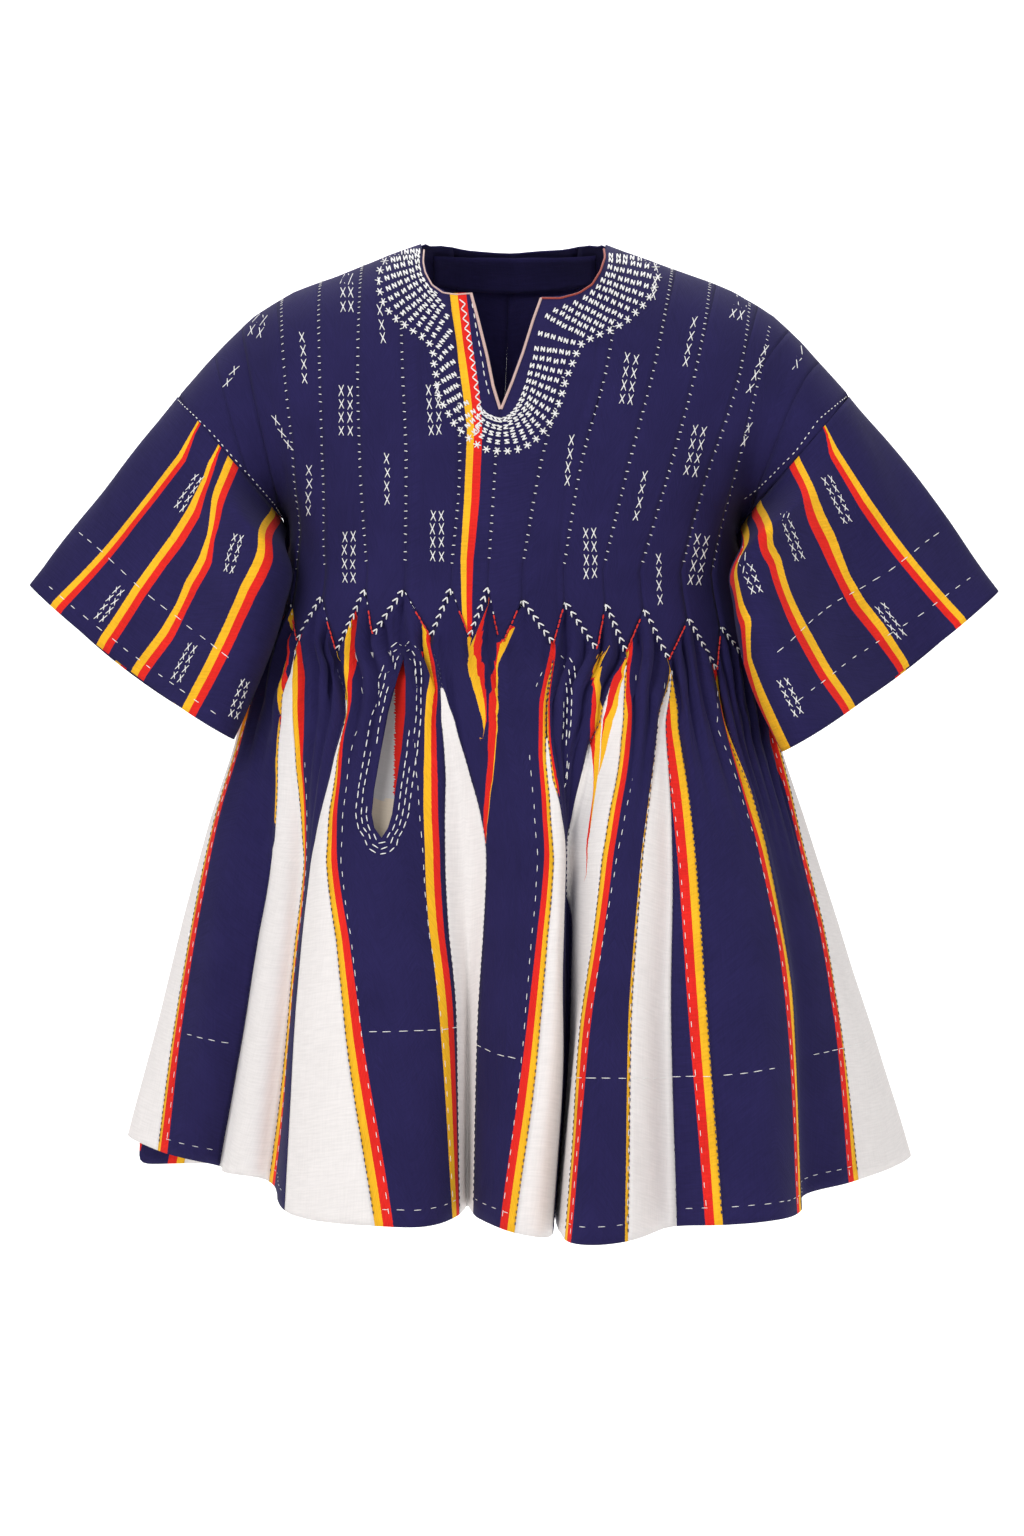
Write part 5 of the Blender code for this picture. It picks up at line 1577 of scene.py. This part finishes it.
class SMOCK_OT_strips(bpy.types.Operator):
    """Sew the bodice strips, each from its own length of cloth."""

    bl_idname = "smock.strips"
    bl_label = "Bodice strips"

    def execute(self, context):
        seams = {row[0]: row for row in STRIP_SEAMS}
        for number in (6, 5, 4, 3):
            columns = shoulder_columns(seams["l%d" % number], seams["l%d" % (number - 1)])
            strip("strip_left_%d" % number, columns)
        for number in (3, 4, 5, 6, 7):
            columns = shoulder_columns(seams["r%d" % (number - 1)], seams["r%d" % number])
            strip("strip_right_%d" % number, columns)
        seams["centre"] = ("c", -3, -8, -15, -6)
        seams["slit_left"] = ("slit", -35, -22, -15, -6)
        seams["slit_right"] = ("slit", 23, 4, -15, -6)
        for node, face, left, right, tops in NECK_STRIPS:
            strip(node, neck_columns(face, seams[left], seams[right], tops))
        striped = neck_columns(-1, seams["l1"], seams["slit_left"], [(0, -53, -57), (1, -35, -57)])
        strip("strip_left_1_front", striped, "strip_striped", self.stripe_map(striped))
        strip("strip_left_7", armhole_columns(-1, (-0.255, 0.75), (-0.232, 1.0), seams["l6"]))
        strip("strip_left_8", armhole_columns(-1, (-0.288, 0.0), (-0.255, 0.75), None))
        strip("strip_right_8", armhole_columns(1, (-0.288, 0.0), (-0.262, 1.0), seams["r7"]))
        return {"FINISHED"}

    def stripe_map(self, columns):
        """Distance of each point from the left edge of the bodice's stripe."""
        marks = np.array([(*from_photo(x, y)[0], width * MM) for y, x, width in BODICE_STRIPE])
        values = []
        for row in rows_of(columns, 0):
            lefts, widths = [np.interp(-row[:, 2], -marks[:, 2], marks[:, i]) for i in (0, 3)]
            values.append([(away, FAR_OFF) for away in (row[:, 0] - lefts) / widths * INNER_BAND[1]])
        return {"edges": values}


class SMOCK_OT_sleeves(bpy.types.Operator):
    """Sew the two wide sleeves with their woven stripes."""

    bl_idname = "smock.sleeves"
    bl_label = "Sleeves"

    def execute(self, context):
        self.sleeve("sleeve_left", -1, "cloth_strip_left_6")
        self.sleeve("sleeve_right", 1, "cloth_strip_right_7")
        return {"FINISHED"}

    def sleeve(self, node, side, carrier, around=96, down=44):
        """One sleeve, its top along the armhole seam."""
        turns = [2 * math.pi * k / around for k in range(around + 1)]
        shares = [r / down for r in range(down + 1)]
        middles = [sleeve_middle(share, side) for share in shares]
        mirror = np.array([-float(side), 1.0, 1.0])
        columns = [[(sleeve_point(turn, share, side) * mirror,
                     sleeve_normal(turn, share, middle, side) * mirror)
                    for share, middle in zip(shares, middles)] for turn in turns]
        rises = [[sleeve_crease(turn, share, side) for turn in turns] for share in shares]
        stripes = [self.track([sleeve_spot(x, y)[:2] + (half,) for x, y, half in stripe])
                   for stripe in SLEEVE_STRIPES[side]]
        stripes += [np.array([(0, top, 6), (1, low, 6)]) for top, low in BACK_STRIPES]
        maps = {"stripes_%d" % i: [[self.beside(turn, share, side, stripes, 2 * i) for turn in turns]
                                   for share in shares] for i in range(4)}
        item = sheet_piece("cloth_" + node, columns, rises, "sleeve", maps, closed=True)
        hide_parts(node)

    def track(self, spots):
        """Share down, share across and half width of a stripe, from the armhole down."""
        return np.array(sorted((share, (1 - math.cos(turn)) / 2, half) for turn, share, half in spots))

    def beside(self, turn, share, side, stripes, first):
        """Distances from two stripes in half widths, for the faces after and before this column."""
        w = (1 - math.cos(turn)) / 2
        top, bottom = SLEEVES[side][:2]
        size = np.hypot(*(UNDERARM - SHOULDER_TIP)) * (1 - share) + np.hypot(*(bottom - top)) * share
        pairs = []
        for nudge in (0.001, -0.001):
            front = math.sin(turn + nudge) > 0
            pair = []
            for number in (first, first + 1):
                rows = stripes[number]
                middle, half = [np.interp(share, rows[:, 0], rows[:, i]) for i in (1, 2)]
                away = (w - middle) * size / (half * MM)
                pair.append(away if front == (number < 4) else FAR_OFF / MM)
            pairs.append(pair)
        return pairs


class SMOCK_OT_peplum(bpy.types.Operator):
    """Sew the gores and godets of the peplum."""

    bl_idname = "smock.peplum"
    bl_label = "Gores and godets"

    def execute(self, context):
        for node, start, end in GORES:
            finish = "godet" if node.startswith("godet") else "gore"
            finish = "gore_swapped" if node in RED_FIRST else OWN_FINISH.get(node, finish)
            skirt_sheet(node, FOLD_NAMES.index(start), FOLD_NAMES.index(end), finish, TUCKS.get(node))
        stops = [FOLD_NAMES.index("PQ")]
        for i in range(1, len(BACK_SEAMS)):
            at = FOLD_NAMES.index("back%d" % i)
            stops += [at, at + 2]
        stops.append(len(FOLD_NAMES) - 1)
        for i, (start, end) in enumerate(zip(stops[:-1], stops[1:])):
            if i % 2 == 0:
                skirt_sheet("gore_back_%d" % (i // 2 + 1), start, end, "gore", BACK_TUCK)
            else:
                skirt_sheet("godet_back_%d" % (i // 2 + 1), start, end, "godet")
        return {"FINISHED"}


class SMOCK_OT_pocket(bpy.types.Operator):
    """Cut the pocket mouth and hang the bag behind it."""

    bl_idname = "smock.pocket"
    bl_label = "Pocket"

    def execute(self, context):
        self.cut(bpy.data.objects["cloth_gore_front_3_pocket"])
        first = FOLD_NAMES.index("DE")
        last = FOLD_NAMES.index("EF")
        columns = []
        for across in np.linspace(0.0, 1.0, 37):
            column = []
            for down in np.linspace(0.0, 1.0, 61):
                level = POCKET_TOP + (POCKET_BOTTOM - POCKET_TOP) * down
                low = arc_of(level, first) + POCKET_MARGIN
                high = arc_of(level, last) - POCKET_MARGIN
                point, normal = skirt_point(level, low + (high - low) * across)
                depth = math.sin(math.pi * across) * math.sin(math.pi * down) ** 0.6
                column.append((point - normal * (POCKET_INSET + POCKET_DEPTH * depth), normal))
            columns.append(column)
        maps = {"patch": [[self.patch(*point) for point in row] for row in rows_of(columns, 0)]}
        plain_sheet("pocket_bag", columns, lambda p: 0.0012 * unevenness(p, 30, 12), "pocket",
                    maps, straight=True)
        return {"FINISHED"}

    def patch(self, x, _, z):
        """Where the bag shows its red band, to the right, and its cream patch, low down."""
        low = (POCKET_BAND[1] - z) * 8
        return min((x - POCKET_BAND[0]) * 20, -low), low

    def cut(self, gore):
        """Cut the leaf of the pocket mouth through the gore."""
        rights = [(x + w, z) for x, z, w in POCKET_SLIT]
        outline = np.array([(x - w, z) for x, z, w in POCKET_SLIT] + rights[-2:0:-1]) * MM
        bm = bmesh.new()
        face = bm.faces.new([bm.verts.new((x, -0.26, z)) for x, z in outline])
        made = bmesh.ops.extrude_face_region(bm, geom=[face])
        moved = [v for v in made["geom"] if isinstance(v, bmesh.types.BMVert)]
        bmesh.ops.translate(bm, verts=moved, vec=(0, 0.22, 0))
        bmesh.ops.recalc_face_normals(bm, faces=bm.faces)
        cutter = mesh_item("pocket_cutter", bm)
        cut = gore.modifiers.new("Pocket mouth", "BOOLEAN")
        cut.operation = "DIFFERENCE"
        cut.solver = "EXACT"
        cut.object = cutter
        bpy.context.view_layer.update()
        graph = bpy.context.evaluated_depsgraph_get()
        done = bpy.data.meshes.new_from_object(gore.evaluated_get(graph), depsgraph=graph)
        gore.modifiers.clear()
        gore.data = done
        bpy.data.objects.remove(cutter)


class SMOCK_OT_facing(bpy.types.Operator):
    """Line the back of the neck."""

    bl_idname = "smock.facing"
    bl_label = "Neck facing"

    def execute(self, context):
        columns = []
        for x in np.linspace(-0.071, 0.073, 33):
            out = (x / 0.072) ** 2
            height = FACING_HEIGHT * (1.08 - 0.35 * out)
            places = [upper_point(x, FACING_LIFT - 0.004 * out - down * height, 1)
                      for down in np.linspace(0.0, 1.0, 9)]
            columns.append([(point - normal * (WALL + FACING_GAP), normal) for point, normal in places])
        plain_sheet("neck_facing_back", columns, lambda p: 0.0006 * unevenness(p, 30, 12), "strip")
        return {"FINISHED"}


# Where a seam's ticks begin below the neck, in front and behind. The others begin at the
# shoulder line.
TICK_TOPS = {"c": (-0.158, 0.0), "l1": (-0.125, 0.0), "r1": (-0.125, 0.0), "l2": (-0.070, None),
             "r2": (-0.070, None)}


class SMOCK_OT_seam_stitches(bpy.types.Operator):
    """Sew ticks across the seams between the strips."""

    bl_idname = "smock.seam_stitches"
    bl_label = "Strip seams"

    def execute(self, context):
        ticks = Stitches("stitches_strip_seams", "thread_white")
        for number, seam in enumerate(STRIP_SEAMS):
            if seam[4] is None or abs(seam[4]) == 90:
                continue
            for face in (-1, 1):
                ticks.run(self.seam_line(seam, face), thread().pitch, thread().tick, 0.0008,
                          across=True, seed=number)
        for row in ARMHOLE_DOTS:
            ticks.run(run_of(row, from_photo, 12), *RUNS["armhole"], seed=77)
        ticks.build()
        return {"FINISHED"}

    def seam_line(self, seam, face):
        """Points down a strip seam, from the shoulder or the neck rows to the waist peak."""
        top = TICK_TOPS.get(seam[0], (None, None))[face > 0]
        top = shoulder_height(seam[1] * MM) - 0.001 if top is None else top
        heights = [top + (WAIST_Z + 0.004 - top) * share ** 1.3 for share in np.linspace(0.0, 1.0, 60)]
        return [creased_bodice(seam_x(seam, z, 0.0), z, face) for z in heights]


def densify(points, count):
    """Points evenly along a broken line through a few pixels."""
    points = np.array(points, float)
    arcs = distances(points)
    places = np.linspace(0.0, arcs[-1], count * (len(points) - 1) + 1)
    return [tuple(along_line(place, arcs, points)) for place in places]


class SMOCK_OT_crosses(bpy.types.Operator):
    """Sew the groups of crosses on the strips and sleeves."""

    bl_idname = "smock.crosses"
    bl_label = "Crosses"

    def execute(self, context):
        crosses = Stitches("stitches_crosses", "thread_white")
        rng = random.Random(4)
        for spot in CROSSES:
            for face in (-1, 1):
                self.group(crosses, rng, spot, lambda x, y: from_photo(x, y, face), (13.5, 8.5))
        for spot in SLEEVE_CROSSES:
            self.group(crosses, rng, spot, from_photo_sleeve, (10.5, 6.5))
        crosses.build()
        return {"FINISHED"}

    def group(self, crosses, rng, spot, place, pitch):
        """One group, its columns side by side and leaning together."""
        x, y, cols, rows, lean = spot
        down = np.array([lean, 1.0]) / math.hypot(lean, 1.0)
        aside = np.array([down[1], -down[0]])
        for r in range(rows):
            for c in range(cols):
                middle = np.array([x, y]) + down * ((r - (rows - 1) / 2) * pitch[0])
                middle += aside * ((c - (cols - 1) / 2) * pitch[1])
                middle += (rng.uniform(-0.6, 0.6), rng.uniform(-0.6, 0.6))
                for slant in (-1, 1):
                    half = down * pitch[0] * 0.4 + (pitch[1] * 0.3 * slant, rng.uniform(-0.7, 0.7))
                    start, normal = place(*(middle - half))
                    crosses.add(start, place(*(middle + half))[0], normal, 0.0010)


class SMOCK_OT_neck_embroidery(bpy.types.Operator):
    """Sew the rows of ladder stitches, the stars and the edges round the neck."""

    bl_idname = "smock.neck_embroidery"
    bl_label = "Neck embroidery"

    def execute(self, context):
        marks = Stitches("embroidery_neck", "thread_white")
        rng = random.Random(9)
        rows = np.array(NECK_ROWS, float)
        arcs = distances(rows[:, 2:])
        for place in np.arange(0.0, arcs[-1], NECK_ROW_PITCH):
            row = along_line(place, arcs, rows)
            self.ladder(marks, rng, row[:2], row[2:])
        zigzag = np.array(densify(STRIPE_ZIGZAG, 7))
        for i, (start, end) in enumerate(zip(zigzag[:-1], zigzag[1:])):
            swing = np.array([2.6 if i % 2 == 0 else -2.6, 0.0])
            self.stroke(marks, start - swing, end + swing)
        marks.run(run_of(SLIT_DASHES, from_photo, 8), *RUNS["slit"])
        inner = [(x - 4, y + 2) for x, y in NECK_EDGE_LEFT[:-2]]
        marks.run(run_of(inner, from_photo, 8), *RUNS["neck"])
        marks.build()
        return {"FINISHED"}

    def stroke(self, marks, start, end):
        """One straight stitch between two pixels."""
        point, normal = from_photo(*start)
        marks.add(point, from_photo(*end)[0], normal, 0.0013)

    def ladder(self, marks, rng, start, end):
        """One row of marks, like letters without meaning, that ends in a star."""
        length = math.hypot(*(end - start))
        way = (end - start) / length
        side = np.array([-way[1], way[0]]) * 2.6
        count = max(1, int(round((length - 5) / 7.4)))
        for i in range(count):
            spot = start + way * (4 + (length - 8) * (i + 0.3) / count)
            spot = spot + (rng.uniform(-0.5, 0.5), rng.uniform(-0.5, 0.5))
            for shift in (-1.6, 1.6):
                self.stroke(marks, spot + way * shift - side, spot + way * shift + side)
            slant = way * 1.6 + side * (1 if rng.random() < 0.6 else -1)
            self.stroke(marks, spot - slant, spot + slant)
        for k in range(3):
            turn = math.radians(60 * k + rng.uniform(-15, 15))
            ray = np.array([math.cos(turn), math.sin(turn)]) * 4.2
            self.stroke(marks, end - ray, end + ray)


class SMOCK_OT_waist_stitches(bpy.types.Operator):
    """Sew the thick chain up one side of each waist point and dots down the other."""

    bl_idname = "smock.waist_stitches"
    bl_label = "Waist points"

    def execute(self, context):
        chain = Stitches("stitches_waist_chain", "thread_white")
        red = Stitches("stitches_waist_red", "thread_red")
        marks = WAIST_POINTS[2:-1]
        for i, ((a0, h0), (a1, h1)) in enumerate(zip(marks[:-1], marks[1:])):
            rising = h1 > h0
            left_half = (a0 + a1) / 2 < -1
            line = self.waist_line(a0, a1)
            if rising == left_half:
                self.chain(chain, line)
                continue
            part = int(len(line) * (0.5 if left_half else 0.85))
            rest = len(line) - part
            upper = line[part:] if rising else line[:rest]
            if len(upper) > 1:
                chain.run(upper, *RUNS["waist"], seed=i)
            red.run(line[:part + 1] if rising else line[rest - 1:], *RUNS["waist_red"], seed=i)
        behind = waist_marks(90, 270)
        for i, (a0, a1) in enumerate(zip(behind[:-1], behind[1:])):
            line = self.waist_line(a0, a1) if (a0 + a1) / 2 < 180 else self.waist_line(a1, a0)
            if line[-1][0][2] > line[0][0][2]:
                self.chain(chain, line)
            else:
                chain.run(line, *RUNS["waist"], seed=i)
        chain.build()
        red.build()
        return {"FINISHED"}

    def waist_line(self, a0, a1):
        """Points along one side of a waist point."""
        line = []
        for share in np.linspace(0.0, 1.0, 14):
            angle = a0 + (a1 - a0) * share
            place = line_of_angle(angle)
            level = level_of(waist_height(angle), place)
            point, normal = skirt_point(level, arc_of(level, place))
            line.append((point + normal * 0.0006, normal))
        return line

    def chain(self, chain, line):
        """Arrowhead stitches in a row, the points towards the tip of the gore."""
        points = np.array([p[0] for p in line])
        arcs = distances(points)
        count = int(arcs[-1] / CHAIN_PITCH)
        way = (points[-1] - points[0]) / np.linalg.norm(points[-1] - points[0])
        way = way if points[-1][2] > points[0][2] else -way
        for i in range(count):
            place = arcs[-1] * (i + 0.5) / count
            middle = along_line(place, arcs, points)
            normal = line[min(int(place / arcs[-1] * 13), 13)][1]
            side = np.cross(way, normal)
            for turn in (-1, 1):
                foot = middle - way * 0.0022 + side * 0.0024 * turn
                chain.add(foot, middle + way * 0.0026, normal, 0.0014)


def on_skirt(x, z, first, last):
    """Point of a gore at this place seen from the front, and its outward direction."""
    level = (WAIST_Z - z) / (WAIST_Z - HEM_HEIGHTS[first])
    for _ in range(3):
        points, arcs = ring_at(level)
        low = arc_of(level, first)
        high = arc_of(level, last)
        inside = (arcs >= low) & (arcs <= high)
        xs = points[inside, 0]
        order = np.argsort(xs)
        arc = float(np.interp(x, xs[order], arcs[inside][order]))
        point, normal = skirt_point(level, arc)
        level += (point[2] - z) / (WAIST_Z - HEM_HEIGHTS[first])
    line = float(np.interp(arc, ring_at(level)[1], SAMPLES))
    return point + normal * skirt_crease(point, line), normal


class SMOCK_OT_pocket_rings(bpy.types.Operator):
    """Sew rings of running stitch round both pocket mouths."""

    bl_idname = "smock.pocket_rings"
    bl_label = "Pocket rings"

    def execute(self, context):
        rings = Stitches("stitches_pocket_rings", "thread_white")
        first = FOLD_NAMES.index("DE")
        last = FOLD_NAMES.index("EF")
        for number, away in enumerate((4.6, 8.8, 13.2)):
            line = [on_skirt(x * MM, z * MM, first, last) for x, z in self.ring(away)]
            rings.run(line, *RUNS["pocket"], seed=number)
        for number, row in enumerate(RIGHT_RINGS):
            rings.run(run_of(row, from_photo_skirt, 5), *RUNS["pocket_folded"], seed=number + 9)
        rings.build()
        return {"FINISHED"}

    def ring(self, away):
        """The outline of the pocket mouth, moved out, with round ends."""
        slit = np.array(POCKET_SLIT, float)
        turns = np.radians(np.linspace(0, 180, 9))
        arch = np.array([np.cos(turns), np.sin(turns)]).T * away
        lefts = [(x - w - away, z) for x, z, w in slit[1:-1]]
        rights = [(x + w + away, z) for x, z, w in slit[-2:0:-1]]
        loop = [*(slit[0, :2] + arch), *lefts, *(slit[-1, :2] - arch), *rights]
        return densify(loop + loop[:1], 3)


class SMOCK_OT_cuff_rows(bpy.types.Operator):
    """Sew the running stitches round the cuffs."""

    bl_idname = "smock.cuff_rows"
    bl_label = "Cuff rows"

    def execute(self, context):
        rows = Stitches("stitches_cuffs", "thread_white")
        for number, row in enumerate(CUFF_DASHES):
            kind = "cuff_outer" if number % 2 else "cuff_inner"
            rows.run(run_of(row, from_photo_sleeve, 8), *RUNS[kind], seed=number)
        rows.build()
        return {"FINISHED"}


class SMOCK_OT_edge_dashes(bpy.types.Operator):
    """Sew the running stitches beside the stripes and along the hem."""

    bl_idname = "smock.edge_dashes"
    bl_label = "Gore edges and hem"

    def execute(self, context):
        dashes = Stitches("stitches_gore_edges", "thread_white")
        dark = Stitches("stitches_gore_edges_dark", "thread_dark")
        for number, (node, start, end) in enumerate(GORES):
            if node.startswith("godet"):
                continue
            first = FOLD_NAMES.index(start)
            last = FOLD_NAMES.index(end)
            left, right = TUCKS[node]
            for fold, tucks, side, more in ((first, left, 1, 0), (last, right, -1, 20)):
                line = self.edge(fold, tucks, side, EDGE_INSET)
                if max(row[1] for row in tucks) < HIDDEN_TUCK:
                    dashes.run(line, *RUNS["edge"], seed=number + 2 * more)
                line = self.edge(fold, [(0, 0)], side, DARK_INSET)
                dark.run(line, *RUNS["edge_dark"], seed=number + 3 * more)
            dashes.run(self.hem(first, last), *RUNS["hem"], seed=number + 80)
        for number, row in enumerate(HEM_DASHES):
            dashes.run(run_of(row, from_photo_skirt, 14), *RUNS["hem_high"], seed=number + 200)
        dashes.build()
        dark.build()
        return {"FINISHED"}

    def edge(self, fold, tucks, side, away):
        """A line down a gore, so far from its seam less the stripes' tuck."""
        line = []
        waist = waist_height(FOLD_ANGLES[fold])
        for level in np.linspace(level_of(waist, fold) + 0.03, 0.99, 90):
            below = waist - (WAIST_Z + level * (HEM_HEIGHTS[fold] - WAIST_Z))
            inset = max(away - tuck_at(tucks, below), DARK_INSET)
            line.append(creased_skirt(level, seam_arc(level, fold) + side * inset))
        return line

    def hem(self, first, last, level=0.975):
        """A line just above the hem from seam to seam."""
        arcs = np.linspace(arc_of(level, first) + 0.004, arc_of(level, last) - 0.004, 30)
        return [creased_skirt(level, arc) for arc in arcs]


# Cords at the neck: name, pixels, radius and material.
CORDS = [
    ("cord_slit_left", SLIT_EDGE_LEFT, 0.0013, "cord_pink"),
    ("cord_slit_right", SLIT_EDGE_RIGHT, 0.0011, "cord_pink"),
    ("cord_neck_right", NECK_EDGE_RIGHT, 0.0009, "cord_rust"),
    ("cord_neck_left", NECK_EDGE_LEFT, 0.0007, "cord_pink"),
]


class SMOCK_OT_neck_cords(bpy.types.Operator):
    """Bind the neck edge with couched cord."""

    bl_idname = "smock.neck_cords"
    bl_label = "Neck cords"

    def execute(self, context):
        for name, pixels, radius, finish in CORDS:
            data = bpy.data.curves.new(name, "CURVE")
            data.dimensions = "3D"
            data.bevel_depth = radius
            data.bevel_resolution = 2
            data.use_fill_caps = True
            data.materials.append(finish_of(finish))
            points = run_of(pixels, from_photo, 5)
            line = data.splines.new("POLY")
            line.points.add(len(points) - 1)
            for spot, (point, _) in zip(line.points, points):
                spot.co = (*point, 1.0)
            item = new_item(name, data)
            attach(item, "root")
        return {"FINISHED"}


# Soft lamps: name, place, target, size and power.
LAMPS = [
    ("key", (-1.6, -2.6, 1.2), (0.0, 0.0, -0.35), 1.5, 46),
    ("fill", (1.9, -2.2, 0.5), (0.0, 0.0, -0.45), 2.2, 17),
    ("top", (0.0, -0.2, 2.2), (0.0, 0.0, -0.4), 1.6, 18),
    ("backdrop", (0.0, 2.2, 2.6), (0.0, 4.2, -0.3), 2.6, 75),
    ("ground", (0.0, 1.7, 2.0), (0.0, 2.0, -1.25), 2.4, 40),
]
WORLD_STRENGTH = 0.42
FLOOR_LOOK = {"Base Color": (0.93, 0.93, 0.93, 1), "Roughness": 0.9,
              "Emission Color": (1, 1, 1, 1), "Emission Strength": 0.22}
FLOOR_Z = -1.25
BEND_START = 3.0
BEND_RADIUS = 1.2


class SMOCK_OT_stage(bpy.types.Operator):
    """Set the floor, the light and the camera."""

    bl_idname = "smock.stage"
    bl_label = "Stage"

    def execute(self, context):
        self.floor()
        for lamp in LAMPS:
            self.light(*lamp)
        world = bpy.data.worlds.new("studio")
        world.use_nodes = True
        shade = world.node_tree.nodes["Background"]
        shade.inputs["Color"].default_value = (1.0, 1.0, 1.0, 1.0)
        shade.inputs["Strength"].default_value = WORLD_STRENGTH
        context.scene.world = world
        context.scene.view_settings.view_transform = "Standard"
        self.camera(context)
        return {"FINISHED"}

    def floor(self):
        """A pale floor that curves up behind the garment."""
        bm = bmesh.new()
        bend = [(BEND_START + BEND_RADIUS * math.sin(a), FLOOR_Z + BEND_RADIUS * (1 - math.cos(a)))
                for a in np.linspace(0.0, math.pi / 2, 14)]
        profile = [(-3.5, FLOOR_Z)] + bend + [(BEND_START + BEND_RADIUS, 4.0)]
        verts = [bm.verts.new((-6.0, y, z)) for y, z in profile]
        edges = [bm.edges.new(pair) for pair in zip(verts[:-1], verts[1:])]
        made = bmesh.ops.extrude_edge_only(bm, edges=edges)
        moved = [v for v in made["geom"] if isinstance(v, bmesh.types.BMVert)]
        bmesh.ops.translate(bm, verts=moved, vec=(12.0, 0, 0))
        bmesh.ops.recalc_face_normals(bm, faces=bm.faces)
        for face in bm.faces:
            face.smooth = True
        item = mesh_item("studio_floor", bm)
        item.data.materials.append(new_finish("pale floor", FLOOR_LOOK)[0])

    def light(self, name, place, target, size, power):
        """A large soft lamp turned to its target."""
        data = bpy.data.lights.new(name, "AREA")
        data.shape = "DISK"
        data.size = size
        data.energy = power
        item = new_item(name, data)
        item.location = place
        way = Vector(target) - Vector(place)
        item.rotation_euler = way.to_track_quat("-Z", "Y").to_euler()

    def camera(self, context):
        """The camera at the photograph's distance and height, looking level."""
        data = bpy.data.cameras.new("camera")
        data.sensor_fit = "VERTICAL"
        data.sensor_height = 36.0
        data.lens = 36.0 * LENS_AWAY / (PHOTO_HEIGHT * PIXEL)
        item = new_item("camera", data)
        item.location = ((PHOTO_WIDTH / 2 - PHOTO_MIDDLE) * PIXEL, -LENS_AWAY, LENS_Z)
        item.rotation_euler = (math.pi / 2, 0.0, 0.0)
        context.scene.camera = item


OPERATORS = [
    SMOCK_OT_strips, SMOCK_OT_sleeves, SMOCK_OT_peplum, SMOCK_OT_pocket, SMOCK_OT_facing,
    SMOCK_OT_seam_stitches, SMOCK_OT_crosses, SMOCK_OT_neck_embroidery, SMOCK_OT_waist_stitches,
    SMOCK_OT_pocket_rings, SMOCK_OT_cuff_rows, SMOCK_OT_edge_dashes, SMOCK_OT_neck_cords,
    SMOCK_OT_stage,
]


class SMOCK_PT_panel(bpy.types.Panel):
    """Lists the steps and the sizes."""

    bl_idname = "SMOCK_PT_panel"
    bl_label = "Smock"
    bl_space_type = "VIEW_3D"
    bl_region_type = "UI"
    bl_category = "Smock"

    def draw(self, context):
        for group in ("smock_cloth", "smock_thread", "smock_colours"):
            settings = getattr(context.scene, group)
            for key in settings.bl_rna.properties.keys():
                if key not in ("rna_type", "name"):
                    self.layout.prop(settings, key)
        for step in OPERATORS:
            self.layout.operator(step.bl_idname)


GROUPS = [("smock_cloth", SmockCloth), ("smock_thread", SmockThread), ("smock_colours", SmockColours)]


def register():
    for name, group in GROUPS:
        bpy.utils.register_class(group)
        setattr(bpy.types.Scene, name, bpy.props.PointerProperty(type=group))
    for step in OPERATORS:
        bpy.utils.register_class(step)
    bpy.utils.register_class(SMOCK_PT_panel)


def unregister():
    bpy.utils.unregister_class(SMOCK_PT_panel)
    for step in reversed(OPERATORS):
        bpy.utils.unregister_class(step)
    for name, group in reversed(GROUPS):
        delattr(bpy.types.Scene, name)
        bpy.utils.unregister_class(group)


def main():
    """Register the settings and run every step."""
    register()
    for step in OPERATORS:
        group, name = step.bl_idname.split(".")
        getattr(getattr(bpy.ops, group), name)()


if __name__ == "__main__":
    main()
